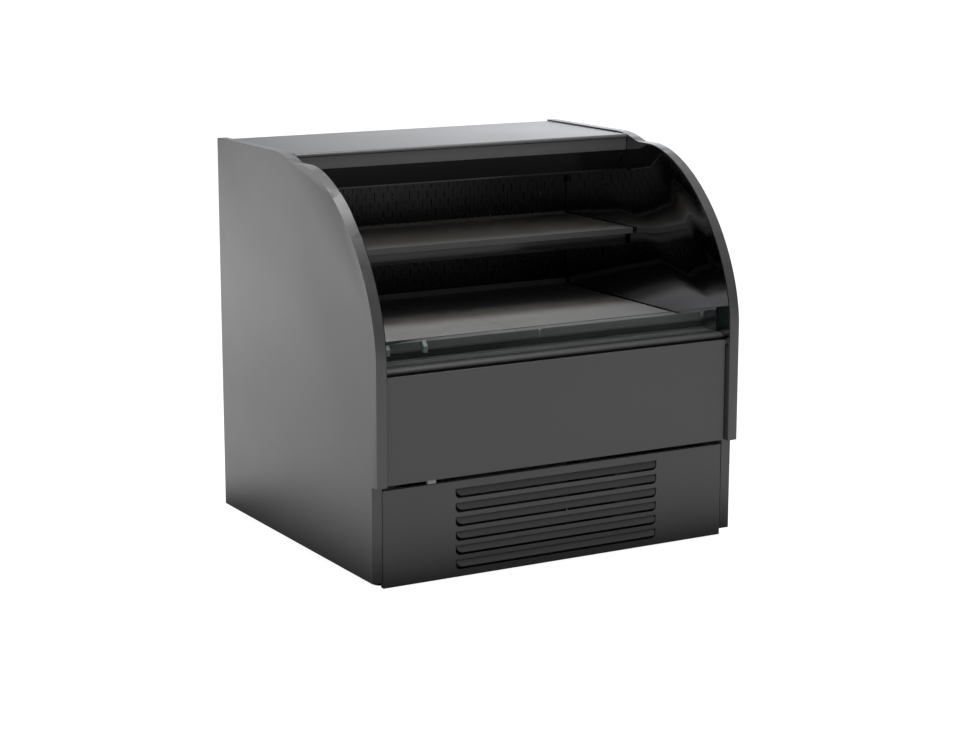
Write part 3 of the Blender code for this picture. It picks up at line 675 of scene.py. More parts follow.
def make_front_panel():
    """Flat front panel with folded flanges and a wider lip at the top, and the catch under it."""
    low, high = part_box("front_panel")
    left, right, tab = -0.4655, 0.462, high.x
    tab_low = high.z - 0.010
    catch_left, catch_right, catch_drop = -0.360, -0.338, 0.008
    outline = [(left, low.z), (right, low.z), (right, tab_low), (tab, tab_low), (tab, high.z),
               (-tab, high.z), (-tab, tab_low), (left, tab_low)]
    outline = rounded(outline, [0.001, 0.001, 0.0008, 0.0008] * 2, 3)
    bm = bmesh.new()
    add_plate(bm, [outline], "y", low.y, low.y + 0.0018, edge=0.0005)
    for z in (low.z + 0.0003, high.z - 0.0003 - SHEET):
        add_box(bm, (left + 0.001, low.y + 0.0008, z), (right - 0.001, high.y, z + SHEET), edge=0.0003)
    piece("front_panel_sheet", bm, POWDER, "case", ["front_panel"])
    bm = bmesh.new()
    add_box(bm, (catch_left, high.y - 0.010, low.z - catch_drop),
            (catch_right, high.y - 0.0015, low.z + 0.0008), edge=0.0006)
    piece("front_panel_catch", bm, PALE_GREY, "case")


def flap_rows(length, half, corner, rows):
    """Rows of (distance from the hinge, half width) over a flap with rounded lower corners."""
    made = [(0.0, half), (length * 0.08, half), (length * 0.2, half), (length - corner, half)]
    for i in range(1, rows + 1):
        angle = math.pi / 2 * i / rows
        made.append((length - corner + corner * math.sin(angle), half - corner * (1 - math.cos(angle))))
    return made


def make_service_panel():
    """Lift-off panel with six flaps bent outward over its slots."""
    low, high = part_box("service_panel")
    face = STEP_Y
    outlines = [rectangle((low.x, low.z), (high.x, high.z), 0.0012)]
    tops = [LOUVRE_TOP_Z - i * LOUVRE_PITCH for i in range(LOUVRE_COUNT)]
    for top in tops:
        slot = rectangle((-LOUVRE_HALF, top - LOUVRE_HEIGHT), (LOUVRE_HALF, top))
        radii = [LOUVRE_CORNER + 0.003] * 2 + [0.0006] * 2
        outlines.append(rounded(slot, radii, 10)[::-1])
    bm = bmesh.new()
    add_plate(bm, outlines, "y", face, face + SHEET)
    for z in (low.z, high.z - SHEET):
        add_box(bm, (low.x + 0.0005, face + 0.0008, z), (high.x - 0.0005, high.y, z + SHEET), edge=0.0003)
    for x in (low.x, high.x - SHEET):
        add_box(bm, (x, face + 0.0008, low.z + 0.001), (x + SHEET, high.y, high.z - 0.001), edge=0.0003)
    for top in tops:
        add_flap(bm, face + LOUVRE_SET, top)
    piece("service_panel_sheet", bm, POWDER, "service_panel", ["service_panel"])


def add_flap(bm, hinge, top):
    """One louvre flap: hung behind the slot's top edge, it bends and runs straight, down and outward."""
    length = LOUVRE_HEIGHT - LOUVRE_KERF
    half = LOUVRE_HALF - LOUVRE_SIDE_KERF
    bend, columns = 0.0035, 9
    grids = []
    for depth in (0.0, SHEET * 0.8):
        grid = []
        for s, wide in flap_rows(length, half, LOUVRE_CORNER, 8):
            angle = min(s / bend, LOUVRE_TILT)
            straight = max(s - bend * LOUVRE_TILT, 0.0)
            out = bend * (1 - math.cos(angle)) + straight * math.sin(LOUVRE_TILT)
            down = bend * math.sin(angle) + straight * math.cos(LOUVRE_TILT)
            y = hinge - out + depth * math.cos(angle)
            z = top - down - depth * math.sin(angle)
            grid.append([bm.verts.new((wide * (2 * k / columns - 1), y, z)) for k in range(columns + 1)])
        grids.append(grid)
    add_shell(bm, *grids)


def make_nose():
    """Rounded rail between the front panel and the front glass, set back under its nose."""
    low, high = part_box("front_nose_rail")
    reach, drop, steps = 0.019, 0.0095, 14
    recess_y, recess_z, lip = -0.3985, 0.5035, 0.0022
    outline = [(high.y, low.z), (high.y, high.z)]
    for i in range(steps + 1):
        angle = math.pi / 2 * i / steps
        outline.append((low.y + reach * (1 - math.sin(angle)), high.z - drop * (1 - math.cos(angle))))
    outline += arc((low.y + lip, recess_z + lip), lip, 180, 270, 4)
    outline += [(recess_y, recess_z), (recess_y, low.z)]
    bm = bmesh.new()
    add_prism(bm, outline, "x", low.x, high.x, edge=0.0004)
    # Darkened charcoal: painted shade.
    piece("front_nose_extrusion", bm, NOSE_SHADED_COAT, "case", ["front_nose_rail"])


def make_glass():
    """Low front glass with polished green edges."""
    low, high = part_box("front_glass")
    edge = 0.0005
    bm = bmesh.new()
    add_box(bm, (low.x + edge, low.y, low.z), (high.x - edge, high.y, high.z - edge), edge=0.0003)
    piece("front_glass_sheet", bm, GLASS, "case", ["front_glass"])
    bm = bmesh.new()
    add_box(bm, (low.x, low.y + 0.0004, high.z - edge), (high.x, high.y - 0.0004, high.z), edge=0.0002)
    for x in (low.x, high.x - edge):
        add_box(bm, (x, low.y + 0.0004, low.z), (x + edge, high.y - 0.0004, high.z - edge), edge=0.0002)
    piece("front_glass_edges", bm, GLASS_EDGE, "case")


def make_return_grille():
    """Lift-out return-air grille with two staggered rows of coined holes, whose pale grey rims are painted
    highlights.
    """
    low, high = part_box("return_air_grille")
    pitch, hole = 0.0090, 0.0016
    rim = [(hole, -0.0010), (hole * 1.05, 0.0), (hole * 1.45, 0.00025), (hole * 1.5, -0.0001)]
    third = (high.y - low.y) / 3
    count = int((high.x - low.x - 0.012) / pitch)
    outlines = [rectangle((low.x, low.y + 0.002), (high.x, high.y - 0.002))]
    rims = bmesh.new()
    for row, y in enumerate((low.y + third, high.y - third)):
        for i in range(count - row):
            x = (i - (count - row - 1) / 2) * pitch
            outlines.append(circle((x, y), hole, 10)[::-1])
            add_turned(rims, rim, "z", (x, y, high.z), 10, capped=False)
    bm = bmesh.new()
    add_plate(bm, outlines, "z", high.z - SHEET, high.z)
    for path in ([(low.y + 0.0035, high.z), (low.y, high.z), (low.y, low.z)],
                 [(high.y, low.z + 0.016), (high.y, high.z), (high.y - 0.0035, high.z)]):
        add_prism(bm, folded(path, SHEET), "x", low.x, high.x)
    node = "return_air_grille"
    piece("return_grille_sheet", bm, GRILLE_COAT, node, [node])
    # Pale grey hole rims: painted highlights.
    piece("return_grille_rims", rims, PALE_GREY, node)


def make_deck():
    """Front rail with its ledge, a pale strip along the ledge's edge as a painted highlight, and the two
    lift-out trays.
    """
    low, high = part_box("deck_front_rail")
    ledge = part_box("return_air_grille")[1].z
    riser, strip_size = -0.3105, 0.0014
    path = [(low.y + 0.004, low.z + 0.030), (low.y + 0.004, ledge), (riser, ledge), (riser, high.z),
            (high.y, high.z), (high.y, low.z)]
    bm = bmesh.new()
    add_prism(bm, folded(path, SHEET, 0.0016), "x", low.x, high.x)
    piece("deck_front_rail_sheet", bm, INNER_COAT, "case", ["deck_front_rail"])
    # A pale strip where the ledge meets the riser: a painted highlight.
    highlight_strip = bmesh.new()
    add_box(highlight_strip, (low.x, riser - strip_size, ledge), (high.x, riser, ledge + strip_size), edge=0.0004)
    piece("deck_ledge_painted_highlight", highlight_strip, CLIP_CLEAR, "case")

    for side in ("left", "right"):
        node = side + "_deck_tray"
        low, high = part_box(node)
        bm = bmesh.new()
        lip = rectangle((low.x, low.z + 0.0005), (high.x, high.z))
        lip = rounded(lip, [0.001, 0.001, 0.006, 0.006], 8)
        add_plate(bm, [lip], "y", low.y, low.y + SHEET, edge=0.0004)
        path = [(high.y, high.z - 0.006), (high.y, low.z), (low.y, low.z), (low.y, low.z + 0.006)]
        add_prism(bm, folded(path, SHEET), "x", low.x, high.x)
        # Lightened charcoal: painted light.
        piece(node + "_sheet", bm, TRAY_LIT_COAT, node, [node])


def make_clips():
    """Frosted clips over the left tray's lip."""
    for side in ("left", "right"):
        carry_over(side + "_divider_clip", CLIP_CLEAR, 0.0006, 3)


def make_back_wall():
    """Back wall with staggered vertical slots at one inch, and a notch in each side edge."""
    low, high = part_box("back_wall_panel")
    notch_low, notch_high, notch_x = 0.805, 0.821, high.x - 0.008
    right = [(high.x, low.z), (high.x, notch_low), (notch_x, notch_low), (notch_x, notch_high),
             (high.x, notch_high), (high.x, high.z)]
    outlines = [right + [(-x, z) for x, z in reversed(right)]]
    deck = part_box("left_deck_tray")[1].z
    rows = int((high.z - 0.006 - deck) / SLOT_PITCH)
    columns = int((notch_x * 2 - 0.02) / SLOT_PITCH)
    for row in range(rows):
        z = high.z - 0.004 - SLOT_PITCH * (row + 1)
        shift = 0.5 if row % 2 else 0.0
        for i in range(columns):
            x = (i - (columns - 1) / 2 + shift - 0.25) * SLOT_PITCH
            outlines.append(rectangle((x - SLOT_WIDE / 2, z), (x + SLOT_WIDE / 2, z + SLOT_TALL))[::-1])
    bm = bmesh.new()
    add_plate(bm, outlines, "y", low.y, high.y - 0.0004)
    piece("back_wall_sheet", bm, WALL_BLACK, "case", ["back_wall_panel"])


def make_canopy_inside():
    """Honeycomb discharge ceiling, and the lamp with its cover and end caps."""
    low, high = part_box("discharge_ceiling")
    outlines = [rectangle((low.x, low.y), (high.x, high.y))]
    cell, first_y = 0.0085, 0.125
    for row in range(4):
        y = first_y + cell * (row + 0.5)
        for i in range(int((high.x - low.x - 0.03) / cell)):
            x = low.x + 0.015 + cell * (i + 0.5 + 0.5 * (row % 2)) - cell * 0.25
            outlines.append(circle((x, y), cell * 0.42, 6)[::-1])
    bm = bmesh.new()
    add_plate(bm, outlines, "z", low.z, high.z)
    piece("discharge_honeycomb", bm, WALL_BLACK, "case", ["discharge_ceiling"])

    low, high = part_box("canopy_light_housing")
    bm = bmesh.new()
    add_box(bm, low, high, edge=0.0015)
    for x in (low.x, high.x - 0.006):
        add_box(bm, (x, low.y, low.z - 0.0015), (x + 0.006, high.y, low.z + 0.002), edge=0.0004)
    piece("canopy_lamp_housing", bm, GLOSS_BLACK, "case", ["canopy_light_housing"])
    low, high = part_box("canopy_light_lens")
    add_lens("canopy_lamp_cover", low, high, LAMP_TOP, "case", "canopy_light_lens")


def add_lens(name, low, high, material, body, node):
    """A lamp cover with a shallow domed underside, set back between the two black sides of its holder."""
    rim, back = 0.0016, 0.0010
    middle = (low.y + high.y) / 2
    half = (high.y - low.y) / 2 - rim
    depth = high.z - low.z
    outline = [(high.y - rim, high.z), (low.y + rim, high.z)]
    for i in range(13):
        angle = math.pi * i / 12
        outline.append((middle - half * math.cos(angle), low.z + back + depth * 0.25 * (1 - math.sin(angle))))
    bm = bmesh.new()
    add_prism(bm, outline, "x", low.x + rim, high.x - rim)
    piece(name, bm, material, body, [node])
    bm = bmesh.new()
    for y in (low.y, high.y - rim):
        add_box(bm, (low.x, y, low.z), (high.x, y + rim, high.z), edge=0.0004)
    for x in (low.x, high.x - rim):
        add_box(bm, (x, low.y + rim, low.z), (x + rim, high.y - rim, high.z), edge=0.0004)
    piece(name + "_holder", bm, GLOSS_BLACK, body)


def make_shelf():
    """Shelf pan with a holed front lip, its lamp, and the two brackets."""
    low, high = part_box("shelf_pan")
    lip_top, plate, hole_drop = 0.7220, 0.7190, 0.003
    holes = [(-0.0175, 0.0008), (0.0023, 0.0013), (0.0221, 0.0008), (0.314, 0.0010), (0.410, 0.0010)]
    outlines = [rectangle((low.x, low.z), (high.x, lip_top), 0.0012)]
    outlines += [circle((x, plate - hole_drop), radius, 12)[::-1] for x, radius in holes]
    bm = bmesh.new()
    add_plate(bm, outlines, "y", low.y, low.y + SHEET)
    path = [(high.y, high.z), (high.y, plate - SHEET), (low.y + 0.0008, plate - SHEET)]
    add_prism(bm, folded(path, -SHEET, 0.0016), "x", low.x, high.x)
    for x in (low.x, high.x - SHEET):
        add_box(bm, (x, low.y + 0.0008, low.z + 0.004), (x + SHEET, high.y - 0.004, lip_top), edge=0.0003)
    piece("shelf_pan_sheet", bm, POWDER, "shelf", ["shelf_pan"])

    low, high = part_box("shelf_light_housing")
    bm = bmesh.new()
    add_box(bm, low, high, edge=0.0020)
    piece("shelf_lamp_housing", bm, GLOSS_BLACK, "shelf", ["shelf_light_housing"])
    low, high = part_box("shelf_light_lens")
    add_lens("shelf_lamp_cover", low, high, LAMP_SHELF, "shelf", "shelf_light_lens")

    for side in ("left", "right"):
        carry_over(side + "_shelf_bracket", WALL_BLACK, 0.0006)


# ---------------------------------------------------------------- back

def make_back():
    """Rear panel and vent grille with their screws, and the power inlet."""
    vent_columns, vent_half, vent_rows = (-0.30, -0.06), 0.10, 7
    vent_low, vent_pitch, vent_tall = 0.072, 0.022, 0.009
    inlet_low, inlet_high = (0.3395, 0.1855), (0.3705, 0.2105)
    low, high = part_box("rear_panel")
    bm = bmesh.new()
    add_plate(bm, [rectangle((low.x, low.z), (high.x, high.z), 0.001)], "y", low.y, high.y, edge=0.0004)
    piece("rear_panel_sheet", bm, POWDER, "case", ["rear_panel"])
    screws = bmesh.new()
    for x in (low.x + 0.018, 0.0, high.x - 0.018):
        for z in (low.z + 0.02, (low.z + high.z) / 2, high.z - 0.02):
            add_screw(screws, (x, high.y, z), (0, 1, 0))
    grille_low, grille_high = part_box("rear_vent_grille")
    for x in (low.x + 0.018, 0.12, high.x - 0.018):
        for z in (grille_low.z + 0.016, grille_high.z - 0.014):
            add_screw(screws, (x, high.y, z), (0, 1, 0))
    piece("rear_screws", screws, SCREW_STEEL, "case")

    outlines = [rectangle((grille_low.x, grille_low.z), (grille_high.x, grille_high.z), 0.001)]
    for x in vent_columns:
        for row in range(vent_rows):
            z = vent_low + row * vent_pitch
            outlines.append(rectangle((x - vent_half, z), (x + vent_half, z + vent_tall), 0.0042)[::-1])
    outlines.append(rectangle(inlet_low, inlet_high)[::-1])
    bm = bmesh.new()
    add_plate(bm, outlines, "y", grille_low.y, grille_high.y)
    piece("rear_vent_sheet", bm, POWDER, "case", ["rear_vent_grille"])
    carry_over("power_inlet", PLASTIC, 0.0005)


# ---------------------------------------------------------------- inside

def make_tub():
    """Insulated tub, fan plenum and rear deck rail."""
    for node in ("tub_floor", "tub_front_wall", "rear_insulated_wall"):
        carry_over(node, LINER_WHITE, 0.0015)
    for node in ("fan_plenum", "deck_rear_rail"):
        carry_over(node, GALVANISED, 0.0005)


def add_coil(bm, tubes, low, high, fin_pitch, rows):
    """A fin pack across X with tube ends and return bends at both ends."""
    inset, radius = 0.012, 0.0036
    count = int((high.x - low.x - 2 * inset) / fin_pitch)
    for i in range(count + 1):
        x = low.x + inset + i * (high.x - low.x - 2 * inset) / count
        add_box(bm, (x - 0.0002, low.y, low.z + 0.001), (x + 0.0002, high.y, high.z - 0.001))
    for x in (low.x + inset - 0.002, high.x - inset):
        add_box(bm, (x, low.y, low.z), (x + 0.002, high.y, high.z), edge=0.0003)
    step = (high.z - low.z) / rows
    columns = max(int((high.y - low.y) / 0.022), 1)
    for c in range(columns):
        y = low.y + (high.y - low.y) * (c + 0.5) / columns
        for r in range(rows):
            z = low.z + step * (r + 0.5)
            add_tube(tubes, [(low.x + inset - 0.002, y, z), (high.x - inset + 0.002, y, z)], radius, 8, 1)
        for x, sign, first in ((low.x + inset, -1, 0), (high.x - inset, 1, 1)):
            for r in range(first, rows - 1, 2):
                z = low.z + step * (r + 0.5)
                bend = [(x, y, z)]
                for k in range(7):
                    angle = math.pi * k / 6
                    out = 0.002 + 0.0055 * math.sin(angle)
                    bend.append((x + sign * out, y, z + step / 2 * (1 - math.cos(angle))))
                bend.append((x, y, z + step))
                add_tube(tubes, bend, radius, 8, 1)


def make_coils():
    for node, pitch, rows, material in (("evaporator_coil", 0.0055, 5, FINS),
                                        ("condenser_coil", 0.0030, 7, DARK_FINS)):
        low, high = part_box(node)
        fins, tubes = bmesh.new(), bmesh.new()
        add_coil(fins, tubes, low, high, pitch, rows)
        piece(node + "_fins", fins, material, "case", [node])
        piece(node + "_tubes", tubes, COPPER, "case")


def make_fan(node, hub, count, sweep):
    """Axial fan with cambered, swept blades on a domed hub."""
    low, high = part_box(node)
    centre = (low + high) / 2
    radius = (high.x - low.x) / 2
    depth = (high.y - low.y) / 2
    bm = bmesh.new()
    profile = [(0.30, -0.98), (0.75, -0.86), (1.0, -0.45), (1.0, 0.9), (0.9, 0.95)]
    add_turned(bm, [(hub * r, depth * d) for r, d in profile], "y", centre, 36)
    across, along = 10, 9
    for b in range(count):
        sheets = []
        for side in (-1, 1):
            grid = []
            for i in range(along + 1):
                t = i / along
                reach = hub * 0.9 + (radius * 0.985 - hub * 0.9) * t
                width = math.radians(48 - 8 * t)
                row = []
                for k in range(across + 1):
                    s = k / across - 0.5
                    angle = 2 * math.pi * b / count + width * s + sweep * t * t
                    camber = depth * 0.16 * math.cos(math.pi * s)
                    thick = 0.0009 * math.sqrt(max(1 - (2 * s) ** 2, 0.02)) * side
                    y = -s * depth * (1.55 - 0.45 * t) - camber + thick
                    edge = 1 - 0.05 * (2 * s) ** 4 * t
                    row.append(bm.verts.new((centre.x + reach * edge * math.sin(angle), centre.y + y,
                                             centre.z + reach * edge * math.cos(angle))))
                grid.append(row)
            sheets.append(grid)
        add_shell(bm, *sheets)
    piece(node + "_impeller", bm, PLASTIC, node, [node])


def make_motor(node):
    """Fan motor with a grooved round body, on its pedestal."""
    low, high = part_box(node)
    radius = (high.x - low.x) / 2
    axis = ((low.x + high.x) / 2, low.y, high.z - radius)
    length = high.y - low.y
    bm = bmesh.new()
    add_turned(bm, [(radius * 0.35, 0.0), (radius * 0.92, 0.0006), (radius, 0.004), (radius, length * 0.30),
                    (radius * 0.93, length * 0.32), (radius * 0.93, length * 0.36), (radius, length * 0.38),
                    (radius, length * 0.74), (radius * 0.94, length * 0.86), (radius * 0.7, length * 0.99)],
               "y", axis, 40)
    stand, foot, foot_tall = 0.011, 0.022, 0.003
    add_box(bm, (axis[0] - stand, low.y + 0.006, low.z + foot_tall),
            (axis[0] + stand, low.y + length * 0.7, axis[2]), edge=0.001)
    add_box(bm, (axis[0] - foot, low.y + 0.003, low.z),
            (axis[0] + foot, low.y + length * 0.8, low.z + foot_tall), edge=0.0006)
    piece(node + "_body", bm, STEEL, "case", [node])


def make_compressor():
    """Hermetic pot compressor with its weld seam, rubber feet and base plate."""
    low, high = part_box("compressor")
    centre = ((low.x + high.x) / 2, (low.y + high.y) / 2, low.z)
    radius = (high.x - low.x) / 2
    tall = high.z - low.z
    profile = [(0.55, 0.10), (0.86, 0.115), (0.94, 0.17), (0.955, 0.42), (0.955, 0.50), (0.995, 0.505),
               (0.995, 0.535), (0.955, 0.54), (0.95, 0.66), (0.90, 0.80), (0.78, 0.91), (0.58, 0.975),
               (0.30, 0.998), (0.05, 1.0)]
    mount = [(0.012, 0.0), (0.014, 0.003), (0.011, 0.008), (0.014, 0.013), (0.012, 0.017)]
    spread, base = radius * 0.62, radius * 0.72
    bm = bmesh.new()
    add_turned(bm, [(r * radius, h * tall) for r, h in profile], "z", centre, 48)
    for sx in (-1, 1):
        for sy in (-1, 1):
            add_turned(bm, mount, "z", (centre[0] + sx * spread, centre[1] + sy * spread, low.z), 20)
    add_box(bm, (centre[0] - base, centre[1] - base, low.z + 0.017),
            (centre[0] + base, centre[1] + base, low.z + 0.020), edge=0.0008)
    piece("compressor_pot", bm, ENAMEL, "case", ["compressor"])


def make_pipes():
    """Discharge and suction lines, and the filter drier."""
    routes = {
        "discharge_line": ([(-0.0340, 0.030, 0.140), (0.030, 0.030, 0.142), (0.078, 0.000, 0.160),
                            (0.085, -0.120, 0.190), (0.085, -0.300, 0.200), (0.080, -0.335, 0.200),
                            (0.061, -0.335, 0.200)], 0.004),
        "suction_line": ([(-0.020, 0.190, 0.2505), (-0.020, 0.190, 0.215), (-0.045, 0.188, 0.165),
                          (-0.105, 0.168, 0.145), (-0.120, 0.140, 0.143), (-0.120, 0.116, 0.143)], 0.006),
    }
    for node, (route, radius) in routes.items():
        bm = bmesh.new()
        add_tube(bm, route, radius)
        piece(node + "_pipe", bm, COPPER, "case", [node])
    low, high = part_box("filter_drier")
    centre = (low + high) / 2
    reach = (high.y - low.y) / 2
    radius = (high.x - low.x) / 2
    half = [(0.25, 1.0), (0.25, 0.80), (0.45, 0.74), (0.85, 0.66), (1.0, 0.60), (1.0, 0.10)]
    profile = [(r * radius, -s * reach) for r, s in half]
    profile += [(r, -y) for r, y in reversed(profile)]
    bm = bmesh.new()
    add_turned(bm, profile, "y", centre, 32)
    piece("filter_drier_shell", bm, COPPER, "case", ["filter_drier"])


def make_machine_space():
    """Coils, fans, motors, compressor and pipes, and the plain parts that carry them."""
    make_coils()
    materials = {
        GALVANISED: ("left_base_rail", "right_base_rail", "rear_cross_member"),
        PLASTIC: ("condensing_unit_tray", "condensate_pan", "electrical_box", "front_cross_member",
                  "power_switch"),
        WALL_BLACK: ("condenser_shroud",),
    }
    for material, nodes in materials.items():
        for node in nodes:
            carry_over(node, material, 0.0006)
    for node, hub, sweep in (("left_evaporator_fan", 0.018, 0.35), ("right_evaporator_fan", 0.018, 0.35),
                             ("condenser_fan", 0.023, 0.40)):
        make_fan(node, hub, 5, sweep)
    for node in ("left_fan_motor", "right_fan_motor", "condenser_fan_motor"):
        make_motor(node)
    make_compressor()
    make_pipes()
    make_dial()


def make_dial():
    """Fluted thermostat knob with a wide skirt."""
    low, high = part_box("temperature_dial")
    centre = Vector(((low.x + high.x) / 2, high.y, (low.z + high.z) / 2))
    radius = (high.x - low.x) / 2
    deep = high.y - low.y
    bm = bmesh.new()
    rings = []
    sides = 72
    profile = [(0.98, 0.0, 0), (1.0, 0.03, 0), (1.0, 0.25, 0), (0.82, 0.34, 0), (0.78, 0.40, 1),
               (0.72, 0.90, 1), (0.64, 0.985, 0), (0.10, 1.0, 0)]
    for share, depth, flute in profile:
        ring = []
        for i in range(sides):
            angle = 2 * math.pi * i / sides
            reach = radius * share * (1 - 0.05 * flute * (0.5 + 0.5 * math.cos(angle * 18)))
            ring.append(bm.verts.new((centre.x + reach * math.cos(angle), centre.y - deep * depth,
                                      centre.z + reach * math.sin(angle))))
        rings.append(ring)
    add_rings(bm, rings)
    piece("temperature_knob", bm, PLASTIC, "temperature_dial", ["temperature_dial"])


def make_feet():
    """Levelling feet: rubber pad, swivel cup, hexagon and threaded stem."""
    for side in ("left", "right"):
        for end in ("front", "rear"):
            node = f"{side}_{end}_foot"
            low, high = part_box(node)
            centre = ((low.x + high.x) / 2, (low.y + high.y) / 2, 0.0)
            radius = (high.x - low.x) / 2
            pad = [(0.92, 0.0), (1.0, 0.0008), (1.0, 0.0035), (0.93, 0.0048), (0.62, 0.0070), (0.50, 0.0078)]
            nut = [(0.0078, 0.0078), (0.0085, 0.0084), (0.0085, 0.0116), (0.0078, 0.0122)]
            bm = bmesh.new()
            add_turned(bm, [(radius * r, z) for r, z in pad], "z", centre, 40)
            add_turned(bm, nut, "z", centre, 6)
            stem = [(0.0045, 0.0120)]
            top = high.z - 0.0002
            thread = (top - 0.0128) / FOOT_TURNS
            for i in range(FOOT_TURNS):
                z = 0.0124 + thread * i
                stem += [(0.0060, z + 0.0003), (0.0051, z + thread * 0.6)]
            stem.append((0.0055, top))
            add_turned(bm, stem, "z", centre, 20)
            piece(node + "_pad", bm, RUBBER, node, [node])


# ---------------------------------------------------------------- stage

CAMERA_PLACE = (-2.8155, -4.9902, 1.5748)
CAMERA_DOWN = 0.2020
CAMERA_TURN = -0.5204
CAMERA_LENS = 86.12
FLOOR_REACH = 60.0
FLOOR_GLOW = 0.96
CARD_REACH = 14.0
CARD_DROP = 0.001


def make_camera():
    """Three-quarter view from the left front, slightly above."""
    data = bpy.data.cameras.new("camera")
    data.lens = CAMERA_LENS
    data.sensor_width = 36.0
    data.clip_end = 200.0
    camera = link("camera", data)
    camera.location = CAMERA_PLACE
    camera.rotation_euler = (math.pi / 2 - CAMERA_DOWN, 0.0, CAMERA_TURN)
    bpy.context.scene.camera = camera


def make_card(name, corners, material):
    """A flat four-cornered card of the stage."""
    bm = bmesh.new()
    bm.faces.new([bm.verts.new(corner) for corner in corners])
    mesh = bpy.data.meshes.new(name)
    bm.to_mesh(mesh)
    bm.free()
    mesh.materials.append(material)
    item = link(name, mesh)
    return item


def glowing(name, colour):
    """A black material that only glows, opened for its emission strength to be fed."""
    material, tree, shader, where = blank(name)
    shader.inputs["Base Color"].default_value = BLACK
    shader.inputs["Emission Color"].default_value = colour
    return material, tree, shader, where


def floor_corners(reach, height):
    return [(x, y, height) for x, y in rectangle((-reach, -reach), (reach, reach))]


def make_floor():
    """A wide, pale floor, which glows except in a dark patch under the case, a painted shadow."""
    shadow_half_x, shadow_half_y, blur = END_HIGH.x - 0.065, BACK_Y - 0.072, 0.012
    white = finish("floor_white", (0.30, 0.30, 0.30), 0.8, mottle=0.004, speckle=0.0, grain=(60.0, 0.0),
                   uneven=0.02, specular=0.1)
    tree, shader, where = opened(white)
    shader.inputs["Emission Color"].default_value = WHITE
    # No glow over the case's footprint, blurred at its edge: a painted shadow.
    outward = outside_rectangle(tree, where, shadow_half_x, shadow_half_y)
    feed(tree, shader.inputs["Emission Strength"], ranged(tree, outward, 0.0, blur, 0.0, FLOOR_GLOW))
    floor = make_card("floor", floor_corners(FLOOR_REACH, 0.0), white)
    floor.visible_diffuse = False
    floor.visible_glossy = False
    floor.visible_transmission = False


def make_bounce_card():
    """A card under the floor that lights the case from below, dim near its foot."""
    glow, tree, shader, where = glowing("bounce_card", WHITE)
    shader.inputs["Specular IOR Level"].default_value = 0.0
    outward = outside_rectangle(tree, where, END_HIGH.x, BACK_Y)
    near = ranged(tree, outward, 0.0, BOUNCE_REACH, BOUNCE_NEAR, BOUNCE_FAR, smooth=True)
    rear_left, reach = (-0.6, 0.8, 0.0), 1.6
    along = calculate(tree, "VectorMath", "DOT_PRODUCT", where, rear_left)
    far = ranged(tree, along, 0.0, reach, 1.0, BOUNCE_REAR_LEFT / BOUNCE_FAR)
    feed(tree, shader.inputs["Emission Strength"], calculate(tree, "Math", "MULTIPLY", near, far))
    card = make_card("bounce_card", floor_corners(CARD_REACH, -CARD_DROP), glow)
    card.visible_camera = False
    card.visible_transmission = False


def outside_rectangle(tree, where, half_x, half_y):
    """Distance from a point on the floor to a rectangle round the origin."""
    split = add_node(tree, "ShaderNodeSeparateXYZ", Vector=where)
    past = {}
    for axis, half in (("X", half_x), ("Y", half_y)):
        size = calculate(tree, "Math", "ABSOLUTE", split.outputs[axis])
        past[axis] = calculate(tree, "Math", "MAXIMUM", calculate(tree, "Math", "SUBTRACT", size, half), 0.0)
    join = add_node(tree, "ShaderNodeCombineXYZ", **past)
    return calculate(tree, "VectorMath", "LENGTH", join.outputs["Vector"])


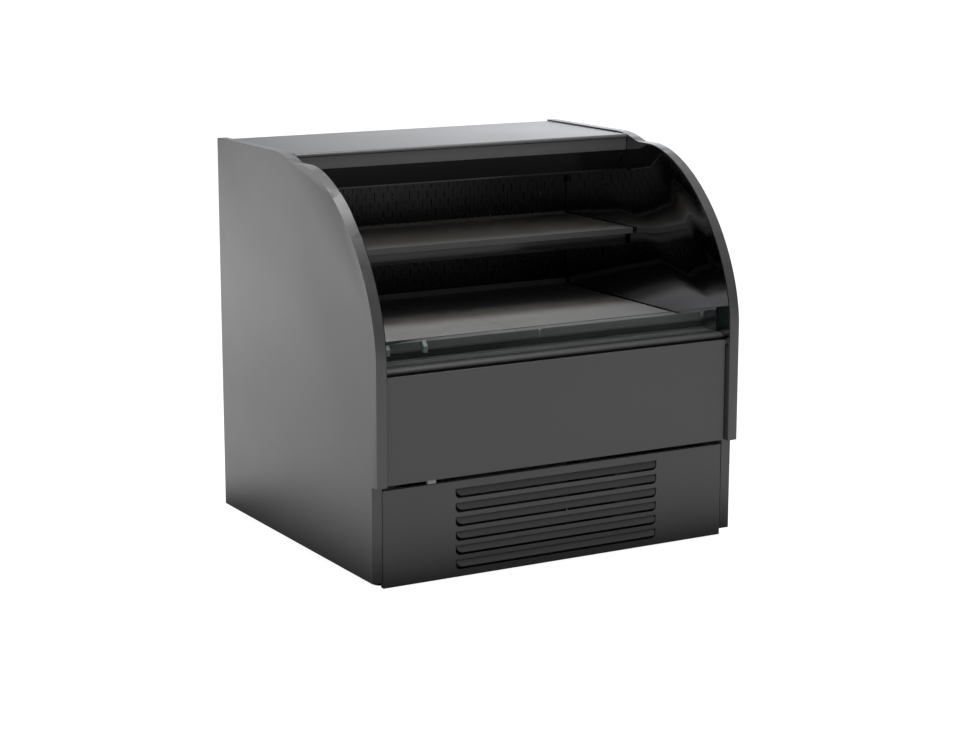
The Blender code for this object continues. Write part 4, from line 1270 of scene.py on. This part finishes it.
def make_world():
    """Soft sky: dark below, dim above the horizon and brighter overhead."""
    stops = ((0.0, (0.02, 0.02, 0.02)), (0.49, (0.13, 0.13, 0.13)), (0.78, (0.18, 0.18, 0.19)),
             (1.0, (0.80, 0.81, 0.83)))
    world = bpy.data.worlds.new("studio")
    world.use_nodes = True
    tree = world.node_tree
    where = tree.nodes.new("ShaderNodeTexCoord").outputs["Generated"]
    split = add_node(tree, "ShaderNodeSeparateXYZ", Vector=where)
    ramp = add_node(tree, "ShaderNodeValToRGB", Fac=ranged(tree, split.outputs["Z"], -1.0, 1.0, 0.0, 1.0))
    marks = ramp.color_ramp.elements
    for position, colour in stops[1:-1]:
        marks.new(position)
    for mark, (position, colour) in zip(marks, stops):
        mark.position = position
        mark.color = (*colour, 1.0)
    feed(tree, tree.nodes["Background"].inputs["Color"], ramp.outputs["Color"])
    bpy.context.scene.world = world


def make_rear_card():
    """Upright card behind the right corner, brighter to the right, that the top panel mirrors softly."""
    low, high, card_y = (-0.9, 0.97), (3.4, 2.4), 1.6
    dim_x, bright_x, dim, bright = -0.4, 2.0, 0.15, 3.2
    glow, tree, shader, where = glowing("rear_card", (0.94, 0.96, 1.0, 1.0))
    split = add_node(tree, "ShaderNodeSeparateXYZ", Vector=where)
    power = ranged(tree, split.outputs["X"], dim_x, bright_x, dim, bright)
    feed(tree, shader.inputs["Emission Strength"], power)
    card = make_card("rear_card", [(x, card_y, z) for x, z in rectangle(low, high)], glow)
    card.visible_camera = False


def add_softbox(name, place_at, aim, size, power):
    data = bpy.data.lights.new(name, "AREA")
    data.shape = "RECTANGLE"
    data.size, data.size_y = size
    data.energy = power
    light = link(name, data)
    light.location = place_at
    light.rotation_euler = (Vector(aim) - Vector(place_at)).to_track_quat("-Z", "Y").to_euler()
    light.visible_camera = False


def make_lights():
    add_softbox("left_rear_softbox", (-1.7, 2.6, 0.70), aim=(-0.5, 0.1, 0.70), size=(2.0, 1.3), power=8.5)
    add_softbox("overhead_softbox", (0.0, 0.05, 2.9), aim=(0.0, 0.0, 0.9), size=(2.0, 0.9), power=52.0)
    make_bounce_card()
    make_rear_card()


def main():
    make_camera()
    make_end_panels()
    make_liners()
    make_top()
    make_front_panel()
    make_service_panel()
    make_nose()
    make_glass()
    make_return_grille()
    make_deck()
    make_clips()
    make_back_wall()
    make_canopy_inside()
    make_shelf()
    make_back()
    make_tub()
    make_machine_space()
    make_feet()
    make_floor()
    make_world()
    make_lights()
    bpy.context.scene.view_settings.view_transform = "Standard"


main()
